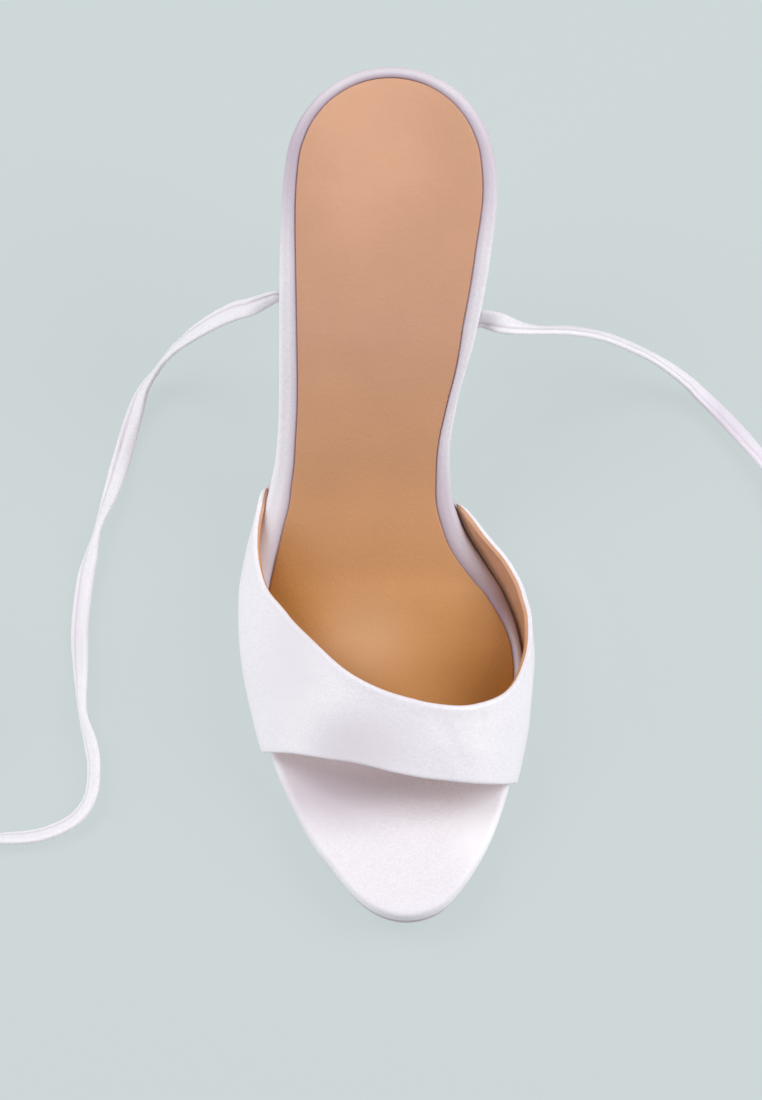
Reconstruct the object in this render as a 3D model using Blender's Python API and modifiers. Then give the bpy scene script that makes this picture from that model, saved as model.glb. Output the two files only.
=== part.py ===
"""Lace up heeled sandal, right shoe, as an assembly of solids.

Metres, +Z up. The toe points to -Y, the heel to +Y and the medial side, where
the arch is, to +X. The origin is on the floor, under the middle of the sole.
The shoe stands on a flat spot under the ball and on the heel's top piece.
"""

import math

import bmesh
import bpy
from mathutils import Vector

# Driving dimensions of the last
SHOE_LENGTH = 0.222
BALL_WIDTH = 0.0768
INSTEP_HEIGHT = 0.040
HEEL_RISE = 0.0875
TOE_SPRING = 0.006

# Place of the last's axis, which puts the origin under the middle of the shoe's box
LAST_PLACE = (0.0010, 0.0003, 0.0)

# Thicknesses
GAP = 0.0003
OUTSOLE_THICKNESS = 0.0022
OUTSOLE_CHAMFER = 0.00055
FOOTBED_THICKNESS = 0.0046
SOCK_THICKNESS = 0.0009
SOCK_DEPTH = 0.0016
TOE_DISH_DEPTH = 0.0006
UPPER_WALL = 0.0015

# Widths
RAND_WIDTH = 0.0045
OUTSOLE_INSET = 0.0008
OUTSOLE_MARGIN = 0.0020
HEEL_INSET = 0.0010

# Places along the sole, as shares of its length from the toe
BREAST_SHARE = 0.785
SOCK_FRONT_SHARE = 0.240
LATERAL_TIE_SHARE = 0.750
MEDIAL_TIE_SHARE = 0.728

# Heel
TOP_PIECE_HEIGHT = 0.0055
TOP_PIECE_RADIUS = 0.0056
HEEL_TIP_SETBACK = 0.0225
BREAST_HOLLOW = 0.0035

# Ties
TIE_WIDTH = 0.0055
TIE_THICKNESS = 0.0018
TIE_ROOT_RUN = 0.0036
TIE_POINT_SPACING = 0.0036
COIL_OUTER_RADIUS = 0.0357
LATERAL_COIL_WALL = 0.0103
MEDIAL_COIL_WALL = 0.0120
LATERAL_COIL_CENTRE = (-0.1470, -0.0500)
MEDIAL_COIL_CENTRE = (0.1490, 0.0220)
COIL_FLOOR = 0.0002
KNOT_RADIUS = 0.0042
KNOT_HEIGHT = 0.0029
KNOT_FLATTENING = 0.62
LATERAL_KNOT_DIRECTION = 20.0
MEDIAL_KNOT_DIRECTION = 30.0

# How finely the solids are faceted
SOLE_STATIONS = 44
UPPER_COLUMNS = 40
UPPER_ROWS = 12
COIL_STEPS = 48
BREAST_STEPS = 7
ROUTE_PARTS = 12

# Side profile of the sole: share of the length, rise in toe springs, rise in heel rises
PROFILE = (
    (0.00, 1.00, 0.00),
    (0.12, 0.37, 0.00),
    (0.24, 0.00, 0.00),
    (0.37, 0.00, 0.00),
    (0.45, 0.00, 0.04),
    (0.54, 0.00, 0.17),
    (0.63, 0.00, 0.37),
    (0.72, 0.00, 0.60),
    (0.81, 0.00, 0.79),
    (0.90, 0.00, 0.92),
    (1.00, 0.00, 1.00),
)

# Outline of the footbed: share of the length, lateral and medial edge in ball widths
OUTLINE = (
    (0.000, 0.058, 0.058),
    (0.004, -0.012, 0.130),
    (0.015, -0.076, 0.192),
    (0.033, -0.135, 0.243),
    (0.065, -0.206, 0.305),
    (0.100, -0.279, 0.358),
    (0.150, -0.355, 0.411),
    (0.210, -0.424, 0.456),
    (0.270, -0.468, 0.484),
    (0.330, -0.498, 0.490),
    (0.390, -0.514, 0.468),
    (0.440, -0.515, 0.415),
    (0.480, -0.506, 0.345),
    (0.520, -0.480, 0.268),
    (0.560, -0.445, 0.226),
    (0.600, -0.416, 0.218),
    (0.650, -0.404, 0.243),
    (0.720, -0.400, 0.312),
    (0.790, -0.396, 0.358),
    (0.860, -0.384, 0.384),
    (0.900, -0.368, 0.371),
    (0.930, -0.335, 0.338),
    (0.960, -0.272, 0.275),
    (0.980, -0.200, 0.203),
    (0.993, -0.122, 0.125),
    (1.000, 0.0015, 0.0015),
)

# Width of the rolled edge: share of the length, lateral and medial in rand widths
RAND = (
    (0.000, 0.80, 0.80),
    (0.200, 0.80, 0.70),
    (0.365, 1.00, 0.58),
    (0.410, 1.10, 0.75),
    (0.450, 1.24, 1.02),
    (0.500, 1.42, 1.24),
    (0.545, 1.45, 1.07),
    (0.580, 1.24, 0.88),
    (0.620, 1.13, 0.72),
    (0.670, 1.15, 0.62),
    (0.730, 1.08, 0.95),
    (0.790, 0.98, 0.98),
    (0.860, 0.80, 0.90),
    (1.000, 0.70, 0.70),
)

# Section of the rolled edge: inset in rand widths, height in footbed thicknesses
ROLL = (
    (0.55, 0.00),
    (0.16, 0.12),
    (0.00, 0.42),
    (0.05, 0.74),
    (0.26, 0.95),
    (0.56, 1.00),
    (0.86, 0.93),
)

# Sections of the last over the vamp: share of the length, place of the crest in ball
# widths, its height in instep heights, lateral and medial flare in ball widths, and
# lateral and medial swell in crest heights
LAST_SECTIONS = (
    (0.10, 0.06, 0.50, 0.036, 0.012, 0.52, 0.55),
    (0.15, 0.06, 0.64, 0.040, 0.012, 0.52, 0.56),
    (0.20, 0.07, 0.78, 0.044, 0.014, 0.50, 0.58),
    (0.26, 0.08, 0.90, 0.054, 0.024, 0.46, 0.60),
    (0.34, 0.09, 0.98, 0.076, 0.060, 0.42, 0.60),
    (0.42, 0.09, 1.00, 0.076, 0.105, 0.38, 0.62),
    (0.50, 0.07, 1.00, 0.036, 0.190, 0.34, 0.66),
    (0.56, 0.05, 1.00, 0.010, 0.190, 0.34, 0.66),
)
CREST_ROUNDNESS = 0.58
FLARE_REACH = 1.4

# Edges of the vamp: place round the section from the lateral to the medial side, and
# the shares of the length where the toe opening and the throat cut it
VAMP_EDGES = (
    (0.00, 0.227, 0.566),
    (0.04, 0.222, 0.549),
    (0.08, 0.217, 0.526),
    (0.14, 0.209, 0.496),
    (0.20, 0.201, 0.455),
    (0.25, 0.193, 0.408),
    (0.30, 0.184, 0.352),
    (0.35, 0.177, 0.308),
    (0.41, 0.168, 0.276),
    (0.48, 0.158, 0.255),
    (0.55, 0.153, 0.246),
    (0.62, 0.152, 0.245),
    (0.69, 0.153, 0.254),
    (0.76, 0.157, 0.271),
    (0.81, 0.161, 0.293),
    (0.85, 0.165, 0.330),
    (0.88, 0.169, 0.400),
    (0.90, 0.172, 0.450),
    (0.93, 0.176, 0.495),
    (0.96, 0.180, 0.523),
    (1.00, 0.184, 0.549),
)

# Outsole margin under the upper's lower edge: share of the length, share of the margin
LATERAL_MARGIN = (
    (0.000, 0.0),
    (0.222, 0.0),
    (0.262, 1.0),
    (0.545, 1.0),
    (0.580, 0.0),
    (1.000, 0.0),
)
MEDIAL_MARGIN = (
    (0.000, 0.0),
    (0.180, 0.0),
    (0.220, 1.0),
    (0.528, 1.0),
    (0.563, 0.0),
    (1.000, 0.0),
)

# Taper of the heel from its seat down to its tip: share of the drop, share of the taper
HEEL_TAPER = (
    (0.00, 0.00),
    (0.04, 0.08),
    (0.09, 0.28),
    (0.16, 0.52),
    (0.26, 0.73),
    (0.40, 0.88),
    (0.60, 0.96),
    (0.80, 0.99),
    (1.00, 1.00),
)

# Route of each tie after its root: x, y, z in metres, turn in degrees, where 0 lies flat
# and 90 stands on edge
LATERAL_ROUTE = (
    (-0.0386, 0.0531, 0.0560, -20.0),
    (-0.0425, 0.0534, 0.0525, -10.0),
    (-0.0469, 0.0534, 0.0475, 0.0),
    (-0.0513, 0.0534, 0.0410, 5.0),
    (-0.0564, 0.0535, 0.0320, 15.0),
    (-0.0620, 0.0534, 0.0200, 35.0),
    (-0.0664, 0.0518, 0.0098, 60.0),
    (-0.0710, 0.0469, 0.0040, 50.0),
    (-0.0738, 0.0390, 0.0020, 20.0),
    (-0.0762, 0.0298, 0.0014, 5.0),
    (-0.0794, 0.0177, 0.0022, 30.0),
    (-0.0832, 0.0059, 0.0030, 75.0),
    (-0.0853, -0.0034, 0.0026, 45.0),
    (-0.0866, -0.0095, 0.0021, 30.0),
    (-0.0878, -0.0235, 0.0020, 25.0),
    (-0.0872, -0.0370, 0.0027, 50.0),
    (-0.0864, -0.0489, 0.0030, 75.0),
    (-0.0840, -0.0578, 0.0028, 55.0),
    (-0.0830, -0.0648, 0.0028, 55.0),
    (-0.0839, -0.0732, 0.0027, 50.0),
    (-0.0883, -0.0797, 0.0025, 42.0),
    (-0.0974, -0.0840, 0.0024, 40.0),
    (-0.1088, -0.0852, 0.0026, 50.0),
    (-0.1215, -0.0856, 0.0030, 80.0),
    (-0.1360, -0.0852, 0.0030, 90.0),
)
MEDIAL_ROUTE = (
    (0.0340, 0.0479, 0.0545, -20.0),
    (0.0417, 0.0485, 0.0500, -48.0),
    (0.0506, 0.0502, 0.0450, -45.0),
    (0.0596, 0.0514, 0.0375, -42.0),
    (0.0685, 0.0516, 0.0280, -39.0),
    (0.0771, 0.0512, 0.0170, -36.0),
    (0.0850, 0.0489, 0.0078, -33.0),
    (0.0907, 0.0450, 0.0034, -28.0),
    (0.0978, 0.0378, 0.0023, -26.0),
    (0.1067, 0.0267, 0.0026, -38.0),
    (0.1108, 0.0198, 0.0030, -70.0),
    (0.1127, 0.0140, 0.0030, -90.0),
)


def slopes(rows):
    """Return the monotone cubic's slope at each (x, y) row."""
    steps = [b[0] - a[0] for a, b in zip(rows, rows[1:])]
    rises = [(b[1] - a[1]) / step for a, b, step in zip(rows, rows[1:], steps)]
    found = [rises[0]]
    for i in range(1, len(rises)):
        before, after = rises[i - 1], rises[i]
        if before * after <= 0.0:
            found.append(0.0)
            continue
        first = 2.0 * steps[i] + steps[i - 1]
        second = steps[i] + 2.0 * steps[i - 1]
        found.append((first + second) / (first / before + second / after))
    found.append(rises[-1])
    return found


class Smooth:
    """A smooth monotone curve through a table's rows."""

    def __init__(self, rows):
        self.rows = rows
        self.slopes = slopes(rows)

    def __call__(self, x):
        rows = self.rows
        x = min(max(x, rows[0][0]), rows[-1][0])
        i = 0
        while x > rows[i + 1][0]:
            i += 1
        step = rows[i + 1][0] - rows[i][0]
        t = (x - rows[i][0]) / step
        start = (1.0 + 2.0 * t) * (1.0 - t) ** 2 * rows[i][1]
        end = t * t * (3.0 - 2.0 * t) * rows[i + 1][1]
        leave = t * (1.0 - t) ** 2 * step * self.slopes[i]
        arrive = t * t * (t - 1.0) * step * self.slopes[i + 1]
        return start + end + leave + arrive


def turn_of(share):
    """Return the angle whose cosine runs from toe to heel, so that both ends are round."""
    return math.acos(max(-1.0, min(1.0, 1.0 - 2.0 * share)))


def share_of(turn):
    """Return the share of the length at an angle of turn_of."""
    return (1.0 - math.cos(turn)) / 2.0


LATERAL, MEDIAL = -1, 1
RISE = Smooth([(share, toe * TOE_SPRING + heel * HEEL_RISE) for share, toe, heel in PROFILE])
EDGE = {
    LATERAL: Smooth([(turn_of(row[0]), row[1] * BALL_WIDTH) for row in OUTLINE]),
    MEDIAL: Smooth([(turn_of(row[0]), row[2] * BALL_WIDTH) for row in OUTLINE]),
}
ROLL_WIDTH = {
    LATERAL: Smooth([(row[0], row[1] * RAND_WIDTH) for row in RAND]),
    MEDIAL: Smooth([(row[0], row[2] * RAND_WIDTH) for row in RAND]),
}
MARGIN_SHARE = {LATERAL: Smooth(LATERAL_MARGIN), MEDIAL: Smooth(MEDIAL_MARGIN)}
CREST_X = Smooth([(row[0], row[1] * BALL_WIDTH) for row in LAST_SECTIONS])
CREST_Z = Smooth([(row[0], row[2] * INSTEP_HEIGHT) for row in LAST_SECTIONS])
FLARE = {
    LATERAL: Smooth([(row[0], row[3] * BALL_WIDTH) for row in LAST_SECTIONS]),
    MEDIAL: Smooth([(row[0], row[4] * BALL_WIDTH) for row in LAST_SECTIONS]),
}
SWELL = {
    LATERAL: Smooth([(row[0], row[5]) for row in LAST_SECTIONS]),
    MEDIAL: Smooth([(row[0], row[6]) for row in LAST_SECTIONS]),
}
TOE_CUT = Smooth([(row[0], row[1]) for row in VAMP_EDGES])
THROAT_CUT = Smooth([(row[0], row[2]) for row in VAMP_EDGES])
TAPER = Smooth(HEEL_TAPER)

FOOTBED_BASE = OUTSOLE_THICKNESS + GAP
FOOTBED_TOP = FOOTBED_BASE + FOOTBED_THICKNESS

# Half the span that the slope of the sole is taken over, as shares of the length
SLOPE_SPAN = 0.004
LAST_SLOPE_SPAN = 0.060


def frame_at(share, reach=SLOPE_SPAN):
    """Return the sole's underside point on the axis, and its along and up directions."""
    before = max(0.0, share - reach)
    after = min(1.0, share + reach)
    along = Vector((0.0, (after - before) * SHOE_LENGTH, RISE(after) - RISE(before))).normalized()
    up = Vector((0.0, -along.z, along.y))
    return Vector((0.0, (share - 0.5) * SHOE_LENGTH, RISE(share))), along, up


def on_last(share, x, height, reach=SLOPE_SPAN):
    """Return the point at x across and at a height square to the sole's underside."""
    point, _, up = frame_at(share, reach)
    return point + Vector((x, 0.0, 0.0)) + up * height


def edge_at(share, side):
    """Return the footbed's edge x on one side."""
    return EDGE[side](turn_of(share))


def edge_lean(share, side):
    """Return how much the footbed's edge moves across for each step along the sole."""
    shift = edge_at(share + SLOPE_SPAN, side) - edge_at(share - SLOPE_SPAN, side)
    return shift * frame_at(share)[1].y / (2.0 * SLOPE_SPAN * SHOE_LENGTH)


def turns_between(shares):
    """Return the sole's even turns between the first and last share, and every share's own."""
    step = math.pi / SOLE_STATIONS
    own = [turn_of(share) for share in shares]
    even = [i * step for i in range(SOLE_STATIONS + 1)]
    inner = [turn for turn in even if own[0] < turn < own[-1] and min(abs(turn - o) for o in own) > step / 4.0]
    return sorted(inner + own)


def rim_stations(shares):
    """Return stations of the footbed's rim, toe to heel: a share, and for each side its
    edge point, its inward direction and the up direction."""
    stations = []
    for turn in turns_between(shares):
        share = share_of(turn)
        base, along, up = frame_at(share)
        sides = {}
        for side in (LATERAL, MEDIAL):
            before = max(0.0, turn - math.pi / SOLE_STATIONS / 2.0)
            after = min(math.pi, turn + math.pi / SOLE_STATIONS / 2.0)
            run = (share_of(after) - share_of(before)) * SHOE_LENGTH / along.y
            shift = EDGE[side](after) - EDGE[side](before)
            tangent = along * run + Vector((shift, 0.0, 0.0))
            inward = tangent.cross(up) * -side
            if turn < 1e-6:
                inward = along.copy()
            elif turn > math.pi - 1e-6:
                inward = -along
            point = base + Vector((EDGE[side](turn), 0.0, 0.0))
            sides[side] = (point, inward.normalized(), up)
        stations.append((share, sides))
    return stations


def new_object(name, mesh, material, collection, parent):
    """Link a mesh as a named object with its material."""
    thing = bpy.data.objects.new(name, mesh)
    thing.data.materials.append(material)
    thing.parent = parent
    collection.objects.link(thing)
    return thing


def smooth_shaded(mesh, degrees=40.0):
    """Shade a mesh smooth, and keep its hard edges."""
    mesh.shade_smooth()
    mesh.set_sharp_from_angle(angle=math.radians(degrees))


def closed_mesh(name, bm):
    """Turn a bmesh into a mesh with its faces pointing out."""
    bmesh.ops.recalc_face_normals(bm, faces=bm.faces)
    mesh = bpy.data.meshes.new(name)
    bm.to_mesh(mesh)
    bm.free()
    smooth_shaded(mesh)
    return mesh


def ringed_mesh(name, shares, rings):
    """Loft a closed solid through rings that follow the rim.

    shares holds the first and last share of the length, with any that need a station of
    their own between them. rings is a list of functions of (share, side) that give an
    inset from the rim and a height. The first ring closes below, the last one above. An
    end that isn't the toe's or the heel's tip is closed by a flat face.
    """
    bm = bmesh.new()
    grid = []
    for share, sides in rim_stations(shares):
        at_tip = share < 1e-6 or share > 1.0 - 1e-6
        row = {}
        for side in (LATERAL, MEDIAL):
            if side == MEDIAL and at_tip:
                row[MEDIAL] = row[LATERAL]
                continue
            point, inward, up = sides[side]
            row[side] = []
            for ring in rings:
                inset, height = ring(share, side)
                row[side].append(bm.verts.new(point + inward * inset + up * height))
        grid.append(row)
    for here, there in zip(grid, grid[1:]):
        for side in (LATERAL, MEDIAL):
            for j in range(len(rings) - 1):
                bm.faces.new((here[side][j], there[side][j], there[side][j + 1], here[side][j + 1]))
        for j in (0, -1):
            corners = (here[LATERAL][j], there[LATERAL][j], there[MEDIAL][j], here[MEDIAL][j])
            bm.faces.new(list(dict.fromkeys(corners)))
    for row in (grid[0], grid[-1]):
        if row[LATERAL] is not row[MEDIAL]:
            bm.faces.new(row[LATERAL] + list(reversed(row[MEDIAL])))
    return closed_mesh(name, bm)


def outsole_mesh():
    """Loft the outsole from the toe to the heel breast, with a margin under the upper."""
    def ring(extra, height):
        def place(share, side):
            return OUTSOLE_INSET + extra - MARGIN_SHARE[side](share) * OUTSOLE_MARGIN, height
        return place
    rings = [
        ring(OUTSOLE_CHAMFER, 0.0),
        ring(0.0, OUTSOLE_CHAMFER),
        ring(0.0, OUTSOLE_THICKNESS - OUTSOLE_CHAMFER),
        ring(OUTSOLE_CHAMFER, OUTSOLE_THICKNESS),
    ]
    return ringed_mesh("outsole", (0.0, BREAST_SHARE - 2.0 * GAP / SHOE_LENGTH), rings)


def recess_step():
    """Return the shares where the footbed's floor steps down in front of the sock."""
    return SOCK_FRONT_SHARE - 4.0 * GAP / SHOE_LENGTH, SOCK_FRONT_SHARE - 2.0 * GAP / SHOE_LENGTH


def recess_depth(share):
    """Return how far the footbed's floor lies below its rolled edge."""
    return SOCK_DEPTH if share > sum(recess_step()) / 2.0 else TOE_DISH_DEPTH


def footbed_mesh():
    """Loft the footbed, a board with a rolled edge round a recess for the sock."""
    def rolled(inset, height):
        return lambda share, side: (inset * ROLL_WIDTH[side](share), FOOTBED_BASE + height * FOOTBED_THICKNESS)

    def floor(share, side):
        return ROLL_WIDTH[side](share), FOOTBED_TOP - recess_depth(share)

    rings = [rolled(inset, height) for inset, height in ROLL] + [floor]
    return ringed_mesh("footbed", (0.0, *recess_step(), 1.0), rings)


def sock_mesh():
    """Loft the sock that lies in the footbed's recess, from under the vamp to the heel."""
    base = FOOTBED_TOP - SOCK_DEPTH + GAP

    def ring(height):
        return lambda share, side: (ROLL_WIDTH[side](share) + GAP, base + height)

    return ringed_mesh("sock", (SOCK_FRONT_SHARE, 1.0), [ring(0.0), ring(SOCK_THICKNESS)])


def quarter(foot, crest, side, flare, swell, t):
    """Return x and height on one side of a section, from its foot at t 0 to the crest."""
    drop = crest[1] - foot[1]
    points = (
        foot,
        (foot[0] + side * flare * FLARE_REACH, foot[1] + swell * drop),
        (crest[0] + (foot[0] - crest[0]) * CREST_ROUNDNESS, crest[1]),
        crest,
    )
    weights = ((1 - t) ** 3, 3 * t * (1 - t) ** 2, 3 * t * t * (1 - t), t ** 3)
    return tuple(sum(w * p[axis] for w, p in zip(weights, points)) for axis in (0, 1))


def vamp_point(around, along):
    """Return the middle of the vamp's wall at a place around and along it."""
    share = TOE_CUT(around) + along * (THROAT_CUT(around) - TOE_CUT(around))
    side = LATERAL if around < 0.5 else MEDIAL
    t = 2.0 * around if side == LATERAL else 2.0 * (1.0 - around)
    clear = (GAP + UPPER_WALL / 2.0) * math.hypot(1.0, edge_lean(share, side))
    foot = (edge_at(share, side) + side * clear, OUTSOLE_THICKNESS + 2.0 * GAP)
    crest = (CREST_X(share), CREST_Z(share))
    x, height = quarter(foot, crest, side, FLARE[side](share), SWELL[side](share), t)
    return on_last(share, x, height, LAST_SLOPE_SPAN)


def vamp_mesh():
    """Lay the vamp's middle surface as a grid, open at the toe, throat and underneath."""
    bm = bmesh.new()
    grid = []
    for i in range(UPPER_COLUMNS + 1):
        around = i / UPPER_COLUMNS
        grid.append([bm.verts.new(vamp_point(around, j / UPPER_ROWS)) for j in range(UPPER_ROWS + 1)])
    for here, there in zip(grid, grid[1:]):
        for j in range(UPPER_ROWS):
            bm.faces.new((here[j], there[j], there[j + 1], here[j + 1]))
    mesh = bpy.data.meshes.new("upper")
    bm.to_mesh(mesh)
    bm.free()
    smooth_shaded(mesh)
    return mesh


def add_upper(material, collection, parent):
    """Add the vamp, a satin wall of even thickness."""
    upper = new_object("upper", vamp_mesh(), material, collection, parent)
    wall = upper.modifiers.new("wall", "SOLIDIFY")
    wall.thickness = UPPER_WALL
    wall.offset = 0.0
    wall.use_even_offset = True
    return upper


def seat_loop(inset, height):
    """Return the heel seat's outline, lateral breast corner round the back and across."""
    stations = rim_stations((BREAST_SHARE, 1.0))
    loop = []
    for side, rows in ((LATERAL, stations), (MEDIAL, stations[-2::-1])):
        for _, sides in rows:
            point, inward, up = sides[side]
            loop.append(point + inward * inset + up * height)
    corner, opposite = loop[-1], loop[0]
    along = frame_at(BREAST_SHARE)[1]
    for i in range(1, BREAST_STEPS):
        t = i / BREAST_STEPS
        loop.append(corner.lerp(opposite, t) + along * BREAST_HOLLOW * math.sin(math.pi * t))
    return loop


def tip_centre():
    """Return the middle of the heel's tip, on the floor."""
    axis = EDGE[MEDIAL](math.pi)
    return Vector((axis, SHOE_LENGTH / 2.0 - HEEL_TIP_SETBACK, 0.0))


def tip_loop(seat, height):
    """Return the heel tip's round outline, a point for each point of the seat's outline."""
    middle = sum(seat, Vector()) / len(seat)
    centre = tip_centre() + Vector((0.0, 0.0, height))
    loop = []
    for point in seat:
        way = Vector((point.x - middle.x, point.y - middle.y, 0.0)).normalized()
        loop.append(centre + way * TOP_PIECE_RADIUS)
    return loop


def loft_mesh(name, loops):
    """Loft a closed solid through loops of as many points each."""
    bm = bmesh.new()
    rings = [[bm.verts.new(point) for point in loop] for loop in loops]
    size = len(rings[0])
    for here, there in zip(rings, rings[1:]):
        for k in range(size):
            bm.faces.new((here[k], here[(k + 1) % size], there[(k + 1) % size], there[k]))
    bm.faces.new(rings[0])
    bm.faces.new(rings[-1])
    bmesh.ops.triangulate(bm, faces=[face for face in bm.faces if len(face.verts) > 4])
    return closed_mesh(name, bm)


def heel_mesh():
    """Loft the slim heel from its seat under the footbed down to its tip."""
    seat = seat_loop(HEEL_INSET, OUTSOLE_THICKNESS)
    tip = tip_loop(seat, TOP_PIECE_HEIGHT + GAP)
    loops = []
    for drop, _ in HEEL_TAPER:
        taper = TAPER(drop)
        loop = []
        for high, low in zip(seat, tip):
            flat = high.lerp(low, taper)
            loop.append(Vector((flat.x, flat.y, high.z + (low.z - high.z) * drop)))
        loops.append(loop)
    return loft_mesh("heel", loops)


def top_piece_mesh():
    """Loft the hard top piece under the heel's tip."""
    seat = seat_loop(HEEL_INSET, OUTSOLE_THICKNESS)
    return loft_mesh("heel_top_piece", [tip_loop(seat, TOP_PIECE_HEIGHT), tip_loop(seat, 0.0)])


def smooth_route(points, spacing):
    """Return evenly spaced points of a smooth curve through a route's own points."""
    ends = [points[0]] + list(points) + [points[-1]]
    fine = []
    for a, b, c, d in zip(ends, ends[1:], ends[2:], ends[3:]):
        for i in range(ROUTE_PARTS):
            t = i / ROUTE_PARTS
            fine.append(0.5 * (2 * b + (c - a) * t + (2 * a - 5 * b + 4 * c - d) * t * t
                               + (3 * b - a - 3 * c + d) * t ** 3))
    fine.append(points[-1])
    length = sum((b.xyz - a.xyz).length for a, b in zip(fine, fine[1:]))
    count = round(length / spacing)
    even, walked, target = [fine[0]], 0.0, length / count
    for a, b in zip(fine, fine[1:]):
        step = (b.xyz - a.xyz).length
        while step > 0.0 and walked + step >= target * len(even) and len(even) < count:
            even.append(a.lerp(b, (target * len(even) - walked) / step))
        walked += step
    even.append(fine[-1])
    return even


def tie_root(share, side):
    """Return where a tie comes out between outsole and footbed, and its turn."""
    tilt = math.degrees(math.atan2(frame_at(share)[1].z, frame_at(share)[1].y))
    lean = abs(edge_lean(share, side))
    clear = lean * TIE_WIDTH / 2.0 - (OUTSOLE_INSET - GAP) * math.hypot(1.0, lean)
    x = edge_at(share, side) + side * clear
    point = on_last(share, x, OUTSOLE_THICKNESS / 2.0)
    return Vector((*point, side * tilt))


def add_tie(name, share, side, route, material, collection, parent):
    """Add a flat tie along its route."""
    root = tie_root(share, side)
    points = [root, root + Vector((side * TIE_ROOT_RUN, 0.0, 0.0, 0.0))] + [Vector(row) for row in route]
    points = smooth_route(points, TIE_POINT_SPACING)
    curve = bpy.data.curves.new(name, "CURVE")
    curve.dimensions = "3D"
    curve.twist_mode = "Z_UP"
    curve.bevel_depth = TIE_THICKNESS / 2.0
    curve.extrude = (TIE_WIDTH - TIE_THICKNESS) / 2.0
    curve.bevel_resolution = 1
    curve.use_fill_caps = True
    spline = curve.splines.new("POLY")
    spline.points.add(len(points) - 1)
    for knot, point in zip(spline.points, points):
        knot.co = (*point.xyz, 1.0)
        knot.tilt = math.radians(90.0 + point.w)
    return new_object(name, curve, material, collection, parent)


def add_coil(name, centre, wall, material, collection, parent):
    """Add the ring that a tie's wound length fills, standing on the floor."""
    outer, inner = COIL_OUTER_RADIUS, COIL_OUTER_RADIUS - wall
    top = COIL_FLOOR + TIE_WIDTH
    profile = [(outer, top), (outer, COIL_FLOOR), (inner, COIL_FLOOR), (inner, top)]
    bm = bmesh.new()
    corners = [bm.verts.new((x, 0.0, z)) for x, z in profile]
    for a, b in zip(corners, corners[1:] + corners[:1]):
        bm.edges.new((a, b))
    mesh = bpy.data.meshes.new(name)
    bm.to_mesh(mesh)
    bm.free()
    coil = new_object(name, mesh, material, collection, parent)
    coil.location = (*centre, 0.0)
    turned = coil.modifiers.new("turn", "SCREW")
    turned.steps = COIL_STEPS
    turned.render_steps = COIL_STEPS
    turned.use_merge_vertices = True
    turned.merge_threshold = 0.0001
    return coil


def add_knot(name, centre, wall, direction, material, collection, parent):
    """Add the knot at a tie's end, inside its coil."""
    reach = COIL_OUTER_RADIUS - wall - GAP - KNOT_RADIUS
    heading = math.radians(direction)
    bm = bmesh.new()
    bmesh.ops.create_icosphere(bm, subdivisions=2, radius=KNOT_RADIUS)
    bmesh.ops.scale(bm, vec=(1.0, 1.0, KNOT_FLATTENING), verts=bm.verts)
    place = (centre[0] + reach * math.cos(heading), centre[1] + reach * math.sin(heading), KNOT_HEIGHT)
    bmesh.ops.translate(bm, vec=place, verts=bm.verts)
    return new_object(name, closed_mesh(name, bm), material, collection, parent)


def material(name, colour, roughness, metallic=0.0):
    """Make a Principled material."""
    made = bpy.data.materials.new(name)
    made.use_nodes = True
    shader = made.node_tree.nodes["Principled BSDF"]
    shader.inputs["Base Color"].default_value = (*colour, 1.0)
    shader.inputs["Roughness"].default_value = roughness
    shader.inputs["Metallic"].default_value = metallic
    return made


def clear_scene():
    """Remove whatever the scene holds."""
    for thing in list(bpy.data.objects):
        bpy.data.objects.remove(thing, do_unlink=True)


def build():
    """Build the sandal from its pieces."""
    clear_scene()
    collection = bpy.data.collections.new("lace_up_heeled_sandal")
    bpy.context.scene.collection.children.link(collection)
    root = bpy.data.objects.new("sandal_origin", None)
    root.location = LAST_PLACE
    collection.objects.link(root)

    satin = material("white_satin", (0.80, 0.76, 0.82), 0.35)
    heel_satin = material("heel_satin", (0.78, 0.74, 0.80), 0.38)
    tie_satin = material("tie_satin", (0.82, 0.80, 0.85), 0.40)
    tan = material("tan_leather", (0.62, 0.36, 0.22), 0.50)
    tread = material("outsole_tread", (0.50, 0.38, 0.28), 0.60)
    hard = material("top_piece_plastic", (0.55, 0.50, 0.46), 0.50)

    new_object("outsole", outsole_mesh(), tread, collection, root)
    new_object("footbed", footbed_mesh(), satin, collection, root)
    new_object("sock", sock_mesh(), tan, collection, root)
    add_upper(satin, collection, root)
    new_object("heel", heel_mesh(), heel_satin, collection, root)
    new_object("heel_top_piece", top_piece_mesh(), hard, collection, root)

    add_tie("lace_lateral", LATERAL_TIE_SHARE, LATERAL, LATERAL_ROUTE, tie_satin, collection, root)
    add_tie("lace_medial", MEDIAL_TIE_SHARE, MEDIAL, MEDIAL_ROUTE, tie_satin, collection, root)
    add_coil("coil_lateral", LATERAL_COIL_CENTRE, LATERAL_COIL_WALL, tie_satin, collection, root)
    add_coil("coil_medial", MEDIAL_COIL_CENTRE, MEDIAL_COIL_WALL, tie_satin, collection, root)
    add_knot(
        "knot_lateral", LATERAL_COIL_CENTRE, LATERAL_COIL_WALL, LATERAL_KNOT_DIRECTION,
        tie_satin, collection, root,
    )
    add_knot(
        "knot_medial", MEDIAL_COIL_CENTRE, MEDIAL_COIL_WALL, MEDIAL_KNOT_DIRECTION,
        tie_satin, collection, root,
    )


build()
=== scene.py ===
"""Dresses the lace up heeled sandal: satin, tan leather, ties, floor, light and camera.

Metres and degrees. The toe points to -Y, the heel to +Y and the medial side to +X. The
shapes follow the same tables as the solids, so each piece lies where its solid does.
"""

import logging
import math
from collections.abc import Callable, Sequence
from dataclasses import dataclass, field
from enum import Enum

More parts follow.
